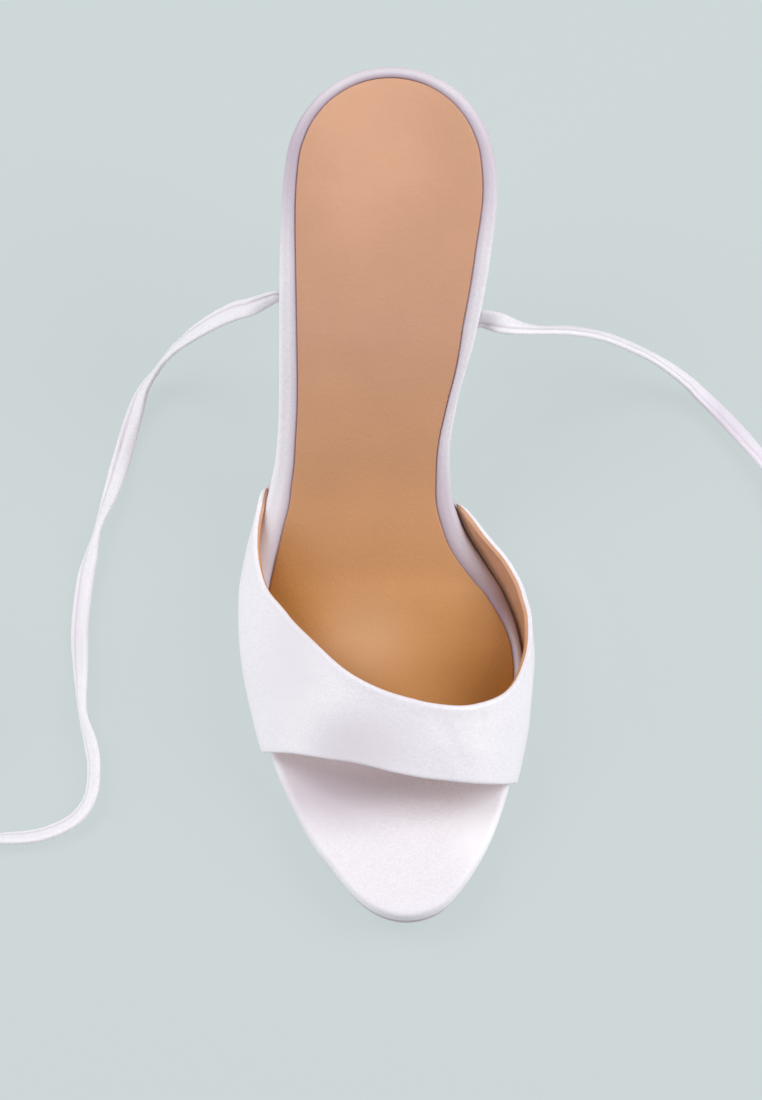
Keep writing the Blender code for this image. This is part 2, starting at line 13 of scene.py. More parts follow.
import bmesh
import bpy
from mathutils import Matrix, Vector, noise


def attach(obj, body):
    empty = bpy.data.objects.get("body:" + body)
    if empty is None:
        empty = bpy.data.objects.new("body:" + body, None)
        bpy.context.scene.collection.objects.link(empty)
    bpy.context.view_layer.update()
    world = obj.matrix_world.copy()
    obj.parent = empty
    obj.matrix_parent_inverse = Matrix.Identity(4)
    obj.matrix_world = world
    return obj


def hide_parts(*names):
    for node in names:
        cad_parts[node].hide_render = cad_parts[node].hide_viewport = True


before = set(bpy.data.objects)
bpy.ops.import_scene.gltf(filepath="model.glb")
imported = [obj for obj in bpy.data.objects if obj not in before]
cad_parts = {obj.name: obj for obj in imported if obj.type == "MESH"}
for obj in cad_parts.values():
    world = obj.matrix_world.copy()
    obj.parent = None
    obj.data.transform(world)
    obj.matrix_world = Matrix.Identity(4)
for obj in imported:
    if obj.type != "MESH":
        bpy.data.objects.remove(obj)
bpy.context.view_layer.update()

LOG = logging.getLogger("sandal")

Triple = tuple[float, float, float]
Colour = Triple
Place = Callable[[float, float], Vector]
Pick = Callable[[float, float], int]
Material = bpy.types.Material
Thing = bpy.types.Object
Socket = bpy.types.NodeSocket
UP = Vector((0.0, 0.0, 1.0))


class Side(Enum):
    """The two sides of the shoe, with the sign of their x."""

    LATERAL = -1
    MEDIAL = 1


@dataclass
class Smooth:
    """A smooth monotone curve through rows of two numbers."""

    rows: Sequence[tuple[float, float]]
    slopes: list[float] = field(init=False)

    def __post_init__(self) -> None:
        """Find the curve's slope at each row."""
        rows = self.rows
        steps = [b[0] - a[0] for a, b in zip(rows, rows[1:])]
        rises = [(b[1] - a[1]) / step for a, b, step in zip(rows, rows[1:], steps)]
        self.slopes = [rises[0]]
        for i in range(1, len(rises)):
            before, after = rises[i - 1], rises[i]
            if before * after <= 0.0:
                self.slopes.append(0.0)
                continue
            first = 2.0 * steps[i] + steps[i - 1]
            second = steps[i] + 2.0 * steps[i - 1]
            self.slopes.append((first + second) / (first / before + second / after))
        self.slopes.append(rises[-1])

    def __call__(self, x: float) -> float:
        """Return the curve's height.

        Args:
            x: where, held between the first and last row.

        Returns:
            The height there.
        """
        rows = self.rows
        x = min(max(x, rows[0][0]), rows[-1][0])
        i = 0
        while x > rows[i + 1][0]:
            i += 1
        step = rows[i + 1][0] - rows[i][0]
        t = (x - rows[i][0]) / step
        start = (1.0 + 2.0 * t) * (1.0 - t) ** 2 * rows[i][1]
        end = t * t * (3.0 - 2.0 * t) * rows[i + 1][1]
        leave = t * (1.0 - t) ** 2 * step * self.slopes[i]
        arrive = t * t * (t - 1.0) * step * self.slopes[i + 1]
        return start + end + leave + arrive


def column(rows: Sequence[Sequence[float]], place: int, scale: float = 1.0) -> Smooth:
    """Return the smooth curve through one column of a table, against its first."""
    return Smooth([(row[0], row[place] * scale) for row in rows])


def ease(x: float) -> float:
    """Return a soft step from 0 at x 0 to 1 at x 1."""
    x = min(max(x, 0.0), 1.0)
    return x * x * (3.0 - 2.0 * x)


def bell(off: float, width: float) -> float:
    """Return the height of a bell curve at a distance from its middle, where it is 1."""
    return math.exp(-(off / width) ** 2)


def turn_of(share: float) -> float:
    """Return the angle whose cosine runs from toe to heel, so that both ends are round."""
    return math.acos(max(-1.0, min(1.0, 1.0 - 2.0 * share)))


def share_of(turn: float) -> float:
    """Return the share of the length at an angle of turn_of."""
    return (1.0 - math.cos(turn)) / 2.0


def flattened(wave: float, power: float) -> float:
    """Return a sine or cosine raised to a power with its sign kept, for a section with flat sides."""
    return math.copysign(abs(wave) ** power, wave)


def leg_of(row: int, legs: Sequence[int]) -> tuple[int, float]:
    """Return where a row lies on a closed section that is drawn in legs.

    Args:
        row: how many rows round the section.
        legs: how many rows each leg has.

    Returns:
        The leg's number and the share of it that is past.
    """
    for leg, rows in enumerate(legs):
        if row <= rows:
            return leg, row / rows
        row -= rows
    return len(legs) - 1, 1.0


def run_of(points: Sequence[Vector]) -> float:
    """Return the length of the line through some points."""
    return sum((b.xyz - a.xyz).length for a, b in zip(points, points[1:]))


def evenly(points: Sequence[Vector], count: int) -> list[Vector]:
    """Return points spaced evenly along a line, without its end.

    Args:
        points: the line's own points.
        count: how many even steps it gets.

    Returns:
        The even points.
    """
    total = run_of(points)
    even, walked = [], 0.0
    for a, b in zip(points, points[1:]):
        step = (b.xyz - a.xyz).length
        while step > 0.0 and len(even) < count and walked + step >= total * len(even) / count:
            even.append(a.lerp(b, (total * len(even) / count - walked) / step))
        walked += step
    return even


# Side profile of the sole: share of the length, rise in toe springs, rise in heel rises
PROFILE = (
    (0.00, 1.00, 0.00),
    (0.12, 0.37, 0.00),
    (0.24, 0.00, 0.00),
    (0.37, 0.00, 0.00),
    (0.45, 0.00, 0.04),
    (0.54, 0.00, 0.17),
    (0.63, 0.00, 0.37),
    (0.72, 0.00, 0.60),
    (0.81, 0.00, 0.79),
    (0.90, 0.00, 0.92),
    (1.00, 0.00, 1.00),
)

# Outline of the footbed: share of the length, lateral and medial edge in ball widths
OUTLINE = (
    (0.000, 0.058, 0.058),
    (0.004, -0.012, 0.130),
    (0.015, -0.076, 0.192),
    (0.033, -0.135, 0.243),
    (0.065, -0.206, 0.305),
    (0.100, -0.279, 0.358),
    (0.150, -0.355, 0.411),
    (0.210, -0.424, 0.456),
    (0.270, -0.468, 0.484),
    (0.330, -0.498, 0.490),
    (0.390, -0.514, 0.468),
    (0.440, -0.515, 0.415),
    (0.480, -0.506, 0.345),
    (0.520, -0.480, 0.268),
    (0.560, -0.445, 0.226),
    (0.600, -0.416, 0.218),
    (0.650, -0.404, 0.243),
    (0.720, -0.400, 0.312),
    (0.790, -0.396, 0.358),
    (0.860, -0.384, 0.384),
    (0.900, -0.368, 0.371),
    (0.930, -0.335, 0.338),
    (0.960, -0.272, 0.275),
    (0.980, -0.200, 0.203),
    (0.993, -0.122, 0.125),
    (1.000, 0.0015, 0.0015),
)

# Width of the rolled edge: share of the length, lateral and medial in rand widths
RAND = (
    (0.000, 0.80, 0.80),
    (0.200, 0.80, 0.70),
    (0.365, 1.00, 0.58),
    (0.410, 1.10, 0.75),
    (0.450, 1.24, 1.02),
    (0.500, 1.42, 1.24),
    (0.545, 1.45, 1.07),
    (0.580, 1.24, 0.88),
    (0.620, 1.13, 0.72),
    (0.670, 1.15, 0.62),
    (0.730, 1.08, 0.95),
    (0.790, 0.98, 0.98),
    (0.860, 0.80, 0.90),
    (1.000, 0.70, 0.70),
)

# Section of the rolled edge: way round it, inset in rand widths, height in thicknesses
ROLL = (
    (0.00, 0.55, 0.00),
    (0.14, 0.16, 0.10),
    (0.30, 0.00, 0.42),
    (0.46, 0.06, 0.76),
    (0.60, 0.26, 0.95),
    (0.76, 0.56, 1.00),
    (0.88, 0.82, 0.92),
    (1.00, 1.00, 0.79),
)

# Sections of the last over the vamp: share of the length, place of the crest in ball
# widths, its height in instep heights, lateral and medial flare in ball widths, and
# lateral and medial swell in crest heights
LAST_SECTIONS = (
    (0.10, 0.06, 0.50, 0.036, 0.012, 0.52, 0.55),
    (0.15, 0.06, 0.64, 0.040, 0.012, 0.52, 0.56),
    (0.20, 0.07, 0.78, 0.044, 0.014, 0.50, 0.58),
    (0.26, 0.08, 0.90, 0.054, 0.024, 0.46, 0.60),
    (0.34, 0.09, 0.98, 0.076, 0.060, 0.42, 0.60),
    (0.42, 0.09, 1.00, 0.076, 0.105, 0.38, 0.62),
    (0.50, 0.07, 1.00, 0.036, 0.190, 0.34, 0.66),
    (0.56, 0.05, 1.00, 0.010, 0.190, 0.34, 0.66),
)

# Edges of the vamp: place round the section from the lateral to the medial side, and
# the shares of the length where the toe opening and the throat cut it
VAMP_EDGES = (
    (0.00, 0.227, 0.566),
    (0.04, 0.222, 0.549),
    (0.08, 0.217, 0.526),
    (0.14, 0.209, 0.496),
    (0.20, 0.201, 0.455),
    (0.25, 0.193, 0.408),
    (0.30, 0.184, 0.352),
    (0.35, 0.177, 0.308),
    (0.41, 0.168, 0.276),
    (0.48, 0.158, 0.255),
    (0.55, 0.153, 0.246),
    (0.62, 0.152, 0.245),
    (0.69, 0.153, 0.254),
    (0.76, 0.157, 0.271),
    (0.81, 0.161, 0.293),
    (0.85, 0.165, 0.330),
    (0.88, 0.169, 0.400),
    (0.90, 0.172, 0.450),
    (0.93, 0.176, 0.495),
    (0.96, 0.180, 0.523),
    (1.00, 0.184, 0.549),
)

# Creases of the vamp: place round and along it, heading from the toe's way in degrees,
# half length and half width in metres, height in metres, where a trough is below zero
VAMP_CREASES = (
    (0.41, 0.42, 25.0, 0.0260, 0.0085, -0.00135),
    (0.56, 0.35, 20.0, 0.0160, 0.0070, 0.00050),
    (0.56, 0.85, 15.0, 0.0055, 0.0014, -0.00026),
    (0.60, 0.60, -35.0, 0.0090, 0.0020, -0.00022),
    (0.69, 0.85, -10.0, 0.0050, 0.0013, -0.00022),
    (0.86, 0.40, -4.0, 0.0100, 0.0022, -0.00026),
    (0.30, 0.55, 60.0, 0.0150, 0.0030, -0.00022),
    (0.22, 0.75, 50.0, 0.0100, 0.0024, -0.00020),
)

# Outsole margin under the upper's lower edge: share of the length, share of the margin
LATERAL_MARGIN = (
    (0.000, 0.0),
    (0.222, 0.0),
    (0.262, 1.0),
    (0.545, 1.0),
    (0.580, 0.0),
    (1.000, 0.0),
)
MEDIAL_MARGIN = (
    (0.000, 0.0),
    (0.180, 0.0),
    (0.220, 1.0),
    (0.528, 1.0),
    (0.563, 0.0),
    (1.000, 0.0),
)

# Taper of the heel from its seat down to its tip: share of the drop, share of the taper
HEEL_TAPER = (
    (0.00, 0.00),
    (0.04, 0.08),
    (0.09, 0.28),
    (0.16, 0.52),
    (0.26, 0.73),
    (0.40, 0.88),
    (0.60, 0.96),
    (0.80, 0.99),
    (1.00, 1.00),
)

# Route of each tie after its root: x, y, z in metres from the last's axis, turn in degrees
LATERAL_ROUTE = (
    (-0.0386, 0.0531, 0.0560, -20.0),
    (-0.0425, 0.0534, 0.0525, -10.0),
    (-0.0469, 0.0534, 0.0475, 0.0),
    (-0.0513, 0.0534, 0.0410, 5.0),
    (-0.0564, 0.0535, 0.0320, 15.0),
    (-0.0620, 0.0534, 0.0200, 35.0),
    (-0.0664, 0.0518, 0.0098, 60.0),
    (-0.0710, 0.0469, 0.0040, 50.0),
    (-0.0738, 0.0390, 0.0020, 20.0),
    (-0.0762, 0.0298, 0.0014, 5.0),
    (-0.0794, 0.0177, 0.0022, 30.0),
    (-0.0832, 0.0059, 0.0030, 75.0),
    (-0.0853, -0.0034, 0.0026, 45.0),
    (-0.0866, -0.0095, 0.0021, 30.0),
    (-0.0878, -0.0235, 0.0020, 25.0),
    (-0.0872, -0.0370, 0.0027, 50.0),
    (-0.0864, -0.0489, 0.0030, 75.0),
    (-0.0840, -0.0578, 0.0028, 55.0),
    (-0.0830, -0.0648, 0.0028, 55.0),
    (-0.0839, -0.0732, 0.0027, 50.0),
    (-0.0883, -0.0797, 0.0025, 42.0),
    (-0.0974, -0.0840, 0.0024, 40.0),
    (-0.1088, -0.0852, 0.0026, 50.0),
    (-0.1215, -0.0856, 0.0030, 80.0),
    (-0.1360, -0.0852, 0.0030, 90.0),
)
MEDIAL_ROUTE = (
    (0.0340, 0.0479, 0.0545, -20.0),
    (0.0417, 0.0485, 0.0500, -48.0),
    (0.0506, 0.0502, 0.0450, -45.0),
    (0.0596, 0.0514, 0.0375, -42.0),
    (0.0685, 0.0516, 0.0280, -39.0),
    (0.0771, 0.0512, 0.0170, -36.0),
    (0.0850, 0.0489, 0.0078, -33.0),
    (0.0907, 0.0450, 0.0034, -28.0),
    (0.0978, 0.0378, 0.0023, -26.0),
    (0.1067, 0.0267, 0.0026, -38.0),
    (0.1108, 0.0198, 0.0030, -70.0),
    (0.1127, 0.0140, 0.0030, -90.0),
)

# Painted light and shade in the satin, laid in as soft spots: colour, middle and radii in metres
# Painted shade in the vamp's hollow and by its lateral edge, painted shadow on the toe under the vamp's lip,
# and a painted highlight on the toe's medial side
VAMP_PAINTED_LIGHT_AND_SHADE = (
    ((0.74, 0.715, 0.755), (-0.008, -0.066, 0.033), (0.023, 0.014, 0.030)),
    ((0.80, 0.785, 0.82), (-0.026, -0.040, 0.030), (0.014, 0.030, 0.030)),
    ((0.74, 0.695, 0.76), (-0.016, -0.074, 0.005), (0.032, 0.018, 0.020)),
    ((0.97, 0.965, 0.985), (0.0270, -0.0850, 0.006), (0.014, 0.018, 0.016)),
)
# Painted shade on the ties where they turn their shaded side up
TIE_PAINTED_SHADE = (
    ((0.76, 0.72, 0.785), (0.096, 0.037, 0.008), (0.024, 0.024, 0.020)),
    ((0.80, 0.785, 0.82), (-0.085, -0.024, 0.003), (0.012, 0.020, 0.012)),
)
# Painted shade and light on the rolled edge: shade round the heel and on the medial side, a brown painted
# shade and bounce from the leather by the medial wing, and a painted light on the lateral side
RAND_PAINTED_LIGHT_AND_SHADE = (
    ((0.66, 0.60, 0.66), (0.000, 0.125, 0.070), (0.080, 0.080, 0.070)),
    ((0.40, 0.31, 0.39), (-0.026, 0.092, 0.068), (0.018, 0.036, 0.050)),
    ((0.54, 0.47, 0.54), (0.029, 0.092, 0.068), (0.016, 0.034, 0.050)),
    ((0.88, 0.86, 0.90), (-0.032, -0.002, 0.032), (0.014, 0.024, 0.030)),
    ((0.54, 0.46, 0.54), (0.020, 0.002, 0.035), (0.016, 0.026, 0.040)),
    ((0.27, 0.115, 0.092), (0.031, -0.022, 0.023), (0.020, 0.036, 0.050)),
)

# Soft spots of the tan leather: which of its tones, middle and radii in metres
# The first two are painted highlights on the ball and the heel seat, the third a darker golden patch by the
# lateral edge, the last painted shade under the medial wing
TAN_SPOTS = (
    ("painted_ball_highlight", (-0.006, -0.027, 0.0), (0.020, 0.020, 0.05)),
    ("seat", (-0.004, 0.090, 0.070), (0.030, 0.055, 0.080)),
    ("gold", (-0.030, -0.018, 0.0), (0.018, 0.030, 0.05)),
    ("painted_wing_shade", (0.030, -0.046, 0.0), (0.026, 0.038, 0.05)),
)

# Lamps: name, place, aim, side of the square face in metres, watts
LAMPS = (
    ("left", (-0.90, 0.45, 1.30), (0.0, 0.0, 0.02), 0.8, 11.0),
    ("right", (1.05, 0.25, 1.05), (0.0, 0.0, 0.02), 0.8, 10.4),
    ("left_strip", (-1.10, -0.25, 0.40), (0.0, -0.02, 0.02), 0.7, 4.6),
    ("right_strip", (1.10, -0.25, 0.40), (0.0, -0.02, 0.02), 0.7, 4.4),
)

# Lines of painted shade, in metres along the cloth's girth: the seams of the ties, shaded in their grooves,
# and the inner edges of the rolled edge, shaded up their inner slopes
TIE_SEAMS = (0.00215, 0.00885)
ROLL_EDGES = (0.0387, 0.0919)


@dataclass
class Last:
    """The last that every piece of the shoe is built on."""

    length: float = 0.222
    ball_width: float = 0.0768
    instep_height: float = 0.040
    heel_rise: float = 0.0875
    toe_spring: float = 0.006
    rand_width: float = 0.0045
    outsole_thickness: float = 0.0022
    footbed_thickness: float = 0.0046
    gap: float = 0.0003
    slope_span: float = 0.004
    rim_span: float = math.pi / 88.0
    place: Triple = (0.0010, 0.0003, 0.0)

    def __post_init__(self) -> None:
        """Draw the smooth curves through the tables."""
        self.rise = Smooth([(s, toe * self.toe_spring + heel * self.heel_rise) for s, toe, heel in PROFILE])
        self.edges, self.rolls = {}, {}
        for place, side in enumerate(Side, 1):
            self.edges[side] = Smooth([(turn_of(row[0]), row[place] * self.ball_width) for row in OUTLINE])
            self.rolls[side] = column(RAND, place, self.rand_width)
        self.footbed_base = self.outsole_thickness + self.gap
        self.footbed_top = self.footbed_base + self.footbed_thickness

    def frame_at(self, share: float, reach: float) -> tuple[Vector, Vector, Vector]:
        """Return the sole's underside on the axis, with its directions.

        Args:
            share: share of the length from the toe.
            reach: half the span that the slope is taken over, a share of the length.

        Returns:
            The point, the direction towards the heel and the direction up.
        """
        before = max(0.0, share - reach)
        after = min(1.0, share + reach)
        run = (after - before) * self.length
        along = Vector((0.0, run, self.rise(after) - self.rise(before))).normalized()
        up = Vector((0.0, -along.z, along.y))
        point = Vector((0.0, (share - 0.5) * self.length, self.rise(share))) + Vector(self.place)
        return point, along, up

    def over(self, share: float, x: float, height: float, reach: float) -> Vector:
        """Return the point at x across and at a height square to the sole's underside."""
        point, _, up = self.frame_at(share, reach)
        return point + Vector((x, 0.0, 0.0)) + up * height

    def edge_at(self, share: float, side: Side) -> float:
        """Return the footbed's edge x on one side."""
        return self.edges[side](turn_of(share))

    def edge_lean(self, share: float, side: Side) -> float:
        """Return how much the edge moves across for each step along the sole.

        Args:
            share: share of the length from the toe.
            side: which side.

        Returns:
            The step across over the step along.
        """
        span = self.slope_span
        shift = self.edge_at(share + span, side) - self.edge_at(share - span, side)
        return shift * self.frame_at(share, span)[1].y / (2.0 * span * self.length)

    def rim(self, turn: float, side: Side) -> tuple[Vector, Vector, Vector]:
        """Return the rim of the sole's underside.

        Args:
            turn: the angle of turn_of.
            side: which side.

        Returns:
            The rim's point, its inward direction and the direction up.
        """
        share = share_of(turn)
        base, along, up = self.frame_at(share, self.slope_span)
        before = max(0.0, turn - self.rim_span)
        after = min(math.pi, turn + self.rim_span)
        run = (share_of(after) - share_of(before)) * self.length / along.y
        shift = self.edges[side](after) - self.edges[side](before)
        tangent = along * run + Vector((shift, 0.0, 0.0))
        inward = tangent.cross(up) * -side.value
        if turn < 1e-6:
            inward = along.copy()
        elif turn > math.pi - 1e-6:
            inward = -along
        return base + Vector((self.edges[side](turn), 0.0, 0.0)), inward.normalized(), up

    def inside_rim(self, turn: float, side: Side, inset: float, height: float) -> Vector:
        """Return the point at an inset from the rim and a height over the underside."""
        point, inward, up = self.rim(turn, side)
        return point + inward * inset + up * height


def solid(colour: Colour) -> tuple[float, float, float, float]:
    """Return a colour with full alpha."""
    return (*colour, 1.0)


@dataclass
class NodeBoard:
    """A material's nodes, laid out by code."""

    name: str
    material: Material = field(init=False)

    def __post_init__(self) -> None:
        """Make the material with its Principled shader."""
        self.material = bpy.data.materials.new(self.name)
        self.material.use_nodes = True
        self.tree = self.material.node_tree
        self.shader = self.tree.nodes["Principled BSDF"]

    def add(self, kind: str, settings: dict | None = None, **inputs: object) -> bpy.types.Node:
        """Add a node.

        Args:
            kind: Blender's name of the node's type.
            settings: the node's own properties.
            **inputs: socket values or the sockets that feed them, by name with _ for a
                space, or by number as in i0.

        Returns:
            The node.
        """
        node = self.tree.nodes.new(kind)
        for key, value in (settings or {}).items():
            setattr(node, key, value)
        for key, value in inputs.items():
            numbered = key[0] == "i" and key[1:].isdigit()
            socket = node.inputs[int(key[1:]) if numbered else key.replace("_", " ")]
            if isinstance(value, Socket):
                self.tree.links.new(value, socket)
            else:
                socket.default_value = value
        return node

    def feed(self, name: str, source: Socket) -> None:
        """Link a source to one of the shader's sockets."""
        self.tree.links.new(source, self.shader.inputs[name])

    def set(self, **values: object) -> None:
        """Set the shader's own numbers and colours, with _ for a space."""
        for key, value in values.items():
            self.shader.inputs[key.replace("_", " ")].default_value = value

    def noise(self, scale: float, detail: float, where: Socket) -> Socket:
        """Return a noise pattern's value at a place."""
        return self.add("ShaderNodeTexNoise", Vector=where, Scale=scale, Detail=detail).outputs["Fac"]

    def spread(self, value: Socket, low: float, high: float) -> Socket:
        """Return a pattern's value spread between two numbers."""
        ends = {"From_Min": 0.3, "From_Max": 0.7, "To_Min": low, "To_Max": high}
        return self.add("ShaderNodeMapRange", Value=value, **ends).outputs["Result"]

    def bump(self, height: Socket, strength: float, distance: float, **under: Socket) -> Socket:
        """Return the normal of a bump, with the Normal that it lies over where one is given."""
        bump = self.add("ShaderNodeBump", Strength=strength, Distance=distance, Height=height, **under)
        return bump.outputs["Normal"]

    def spot(self, where: Socket, middle: Triple, radii: Triple) -> Socket:
        """Return a soft spot, 1 at its middle and 0 at its radii.

        Args:
            where: the coordinates.
            middle: the spot's middle.
            radii: its three radii.

        Returns:
            The spot's strength.
        """
        scale = tuple(1.0 / radius for radius in radii)
        shift = tuple(-place / radius for place, radius in zip(middle, radii))
        placed = self.add("ShaderNodeMapping", Vector=where, Location=shift, Scale=scale)
        settings = {"gradient_type": "SPHERICAL"}
        ball = self.add("ShaderNodeTexGradient", settings, Vector=placed.outputs["Vector"])
        settings = {"interpolation_type": "SMOOTHSTEP"}
        soft = self.add("ShaderNodeMapRange", settings, Value=ball.outputs["Fac"])
        return soft.outputs["Result"]

    def blend(self, share: object, first: object, second: object, mode: str = "MIX") -> Socket:
        """Return a blend of two colours.

        Args:
            share: how much of the second, a number or a socket.
            first: a colour or a socket.
            second: a colour or a socket.
            mode: Blender's name of the blend.

        Returns:
            The blended colour's socket.
        """
        settings = {"data_type": "RGBA", "blend_type": mode}
        first, second = (solid(tone) if isinstance(tone, tuple) else tone for tone in (first, second))
        return self.add("ShaderNodeMix", settings, i0=share, i6=first, i7=second).outputs[2]


@dataclass(frozen=True)
class SatinFinish:
    """White satin: long smooth floats, a cool lilac shade and a soft gloss."""

    name: str
    light: Colour = (0.90, 0.892, 0.922)
    shade: Colour = (0.84, 0.812, 0.862)
    roughness: float = 0.40
    sheen: float = 0.10
    threads: tuple[float, float] = (900.0, 5200.0)
    weave: float = 0.35
    # Painted light and shade in soft spots, and lines of painted shade along the cloth's girth
    painted_shading: tuple[tuple[Colour, Triple, Triple], ...] = ()
    shade_lines: tuple[float, ...] = ()
    shade_line_colour: Colour = (0.66, 0.60, 0.68)
    shade_line_reach: float = 0.0004
    cloud_scale: float = 38.0
    grain_scale: float = 1500.0

    def seam(self, board: NodeBoard, girth: Socket, place: float) -> Socket:
        """Return how strongly a line of painted shade darkens the cloth.

        Args:
            board: the material's board.
            girth: the way round the cloth in metres.
            place: the line's own place on that way.

        Returns:
            The strength, 0 past the line's reach.
        """
        off = board.add("ShaderNodeMath", {"operation": "SUBTRACT"}, i0=girth, i1=place).outputs["Value"]
        size = board.add("ShaderNodeMath", {"operation": "ABSOLUTE"}, i0=off).outputs["Value"]
        line = board.add("ShaderNodeMapRange", Value=size, From_Max=self.shade_line_reach, To_Min=0.75, To_Max=0.0)
        return line.outputs["Result"]

    def make(self) -> Material:
        """Return the satin as a material.

        Returns:
            The material.
        """
        board = NodeBoard(self.name)
        coords = board.add("ShaderNodeTexCoord")
        here, flat = coords.outputs["Object"], coords.outputs["UV"]
        cloth = board.add("ShaderNodeMapping", Vector=flat, Scale=(*self.threads, 1.0)).outputs["Vector"]
        girth = board.add("ShaderNodeSeparateXYZ", Vector=flat).outputs["Y"]
        fine = board.noise(self.grain_scale, 2.0, here)
        broad = board.spread(board.noise(self.cloud_scale, 3.0, here), 0.0, 0.45)
        cloudy = board.blend(broad, self.light, self.shade)
        colour = board.blend(1.0, cloudy, board.spread(fine, 0.93, 1.03), "MULTIPLY")
        # Lay in the painted light and shade, then the lines of painted shade
        for painted_tint, middle, radii in self.painted_shading:
            colour = board.blend(board.spot(here, middle, radii), colour, painted_tint)
        for place in self.shade_lines:
            colour = board.blend(self.seam(board, girth, place), colour, self.shade_line_colour)
        weave = board.bump(board.noise(1.0, 1.0, cloth), self.weave, 0.00006)
        board.feed("Base Color", colour)
        board.feed("Roughness", board.spread(fine, self.roughness - 0.04, self.roughness + 0.06))
        board.feed("Normal", board.bump(board.noise(85.0, 2.0, here), 0.30, 0.0012, Normal=weave))
        board.set(Sheen_Weight=self.sheen, Sheen_Roughness=0.45, Sheen_Tint=solid((0.94, 0.90, 1.0)))
        board.set(Specular_IOR_Level=0.42)
        return board.material


@dataclass(frozen=True)
class LeatherFinish:
    """Smooth tan leather with a fine grain, pinker at the heel and golden at the ball."""

    name: str
    heel: Colour = (0.610, 0.340, 0.205)
    waist: Colour = (0.66, 0.365, 0.225)
    ball: Colour = (0.605, 0.305, 0.115)
    toe: Colour = (0.52, 0.24, 0.065)
    # Tones of the soft spots: painted highlights on the ball and the heel seat, a darker golden patch, and
    # painted shade under the medial wing
    painted_ball_highlight: Colour = (0.69, 0.385, 0.185)
    seat: Colour = (0.72, 0.405, 0.255)
    gold: Colour = (0.52, 0.235, 0.055)
    painted_wing_shade: Colour = (0.40, 0.150, 0.014)
    roughness: float = 0.46
    reach: tuple[float, float] = (-0.060, 0.100)

    def make(self) -> Material:
        """Return the leather as a material.

        Returns:
            The material.
        """
        board = NodeBoard(self.name)
        here = board.add("ShaderNodeTexCoord").outputs["Object"]
        split = board.add("ShaderNodeSeparateXYZ", Vector=here)
        front, back = self.reach
        along = board.add("ShaderNodeMapRange", Value=split.outputs["Y"], From_Min=front, From_Max=back)
        ramp = board.add("ShaderNodeValToRGB", Fac=along.outputs["Result"])
        stops = ramp.color_ramp.elements
        stops[0].color, stops[1].color = solid(self.toe), solid(self.heel)
        for place, tone in ((0.26, self.ball), (0.66, self.waist)):
            stops.new(place).color = solid(tone)
        colour = ramp.outputs["Color"]
        # Lay in the painted highlights, the golden patch and the painted shade
        for tone, middle, radii in TAN_SPOTS:
            colour = board.blend(board.spot(here, middle, radii), colour, getattr(self, tone))
        mottle = board.spread(board.noise(40.0, 3.0, here), 0.96, 1.04)
        board.feed("Base Color", board.blend(1.0, colour, mottle, "MULTIPLY"))
        pores = board.add("ShaderNodeTexVoronoi", {"feature": "SMOOTH_F1"}, Vector=here, Scale=1500.0)
        fine = board.bump(pores.outputs["Distance"], 0.45, 0.00012)
        board.feed("Normal", board.bump(board.noise(700.0, 3.0, here), 0.45, 0.00025, Normal=fine))
        gloss = board.noise(240.0, 2.0, here)
        board.feed("Roughness", board.spread(gloss, self.roughness - 0.04, self.roughness + 0.06))
        board.set(Specular_IOR_Level=0.40)
        return board.material


@dataclass(frozen=True)
class SoleFinish:
    """Sole leather or hard plastic, with a fine even roughness."""

    name: str
    colour: Colour
    worn: Colour
    roughness: float = 0.5
    grain: float = 1600.0

    def make(self) -> Material:
        """Return the finish as a material.

        Returns:
            The material.
        """
        board = NodeBoard(self.name)
        here = board.add("ShaderNodeTexCoord").outputs["Object"]
        clouds = board.spread(board.noise(90.0, 4.0, here), 0.0, 0.6)
        board.feed("Base Color", board.blend(clouds, self.colour, self.worn))
        fine = board.noise(self.grain, 3.0, here)
        board.feed("Roughness", board.spread(fine, self.roughness - 0.05, self.roughness + 0.08))
        board.feed("Normal", board.bump(fine, 0.3, 0.00012))
        return board.material


class Wardrobe:
    """The finishes of the shoe, each made once."""

    def __init__(self) -> None:
        """Make the materials."""
        # The satin, with painted shade and a painted highlight on the vamp and the toe
        self.satin = SatinFinish("white_satin", painted_shading=VAMP_PAINTED_LIGHT_AND_SHADE).make()
        # The rolled edge's satin, with painted light and shade, and painted shade up the inner slopes of its
        # rolls
        self.rand = SatinFinish("rand_satin", light=(0.88, 0.86, 0.895), shade=(0.82, 0.785, 0.84),
                                painted_shading=RAND_PAINTED_LIGHT_AND_SHADE, shade_lines=ROLL_EDGES, shade_line_reach=0.0095,
                                shade_line_colour=(0.42, 0.34, 0.44)).make()
        # The ties' satin, with painted shade in spots and along its seams
        self.tie_satin = SatinFinish("tie_satin", roughness=0.44, threads=(500.0, 2600.0), weave=0.06,
                                     painted_shading=TIE_PAINTED_SHADE, shade_lines=TIE_SEAMS).make()
        self.tan = LeatherFinish("tan_sock").make()
        # The lining, with a milder painted shade under the medial wing
        self.lining = LeatherFinish("tan_lining", heel=(0.64, 0.365, 0.215), ball=(0.64, 0.36, 0.215),
                                    waist=(0.67, 0.385, 0.245), painted_wing_shade=(0.57, 0.31, 0.175)).make()
        self.tread = SoleFinish("outsole_tread", (0.50, 0.36, 0.24), (0.42, 0.29, 0.19), 0.55).make()
        self.ink = SoleFinish("edge_ink", (0.62, 0.55, 0.61), (0.54, 0.47, 0.53)).make()
        # A dark board top: painted shade where the upper's edge overhangs the outsole
        self.shaded = SoleFinish("shaded_board", (0.10, 0.055, 0.035), (0.07, 0.035, 0.02), 0.7).make()
        self.hard = SoleFinish("top_piece_plastic", (0.60, 0.56, 0.53), (0.50, 0.46, 0.43),
                               grain=2200.0).make()


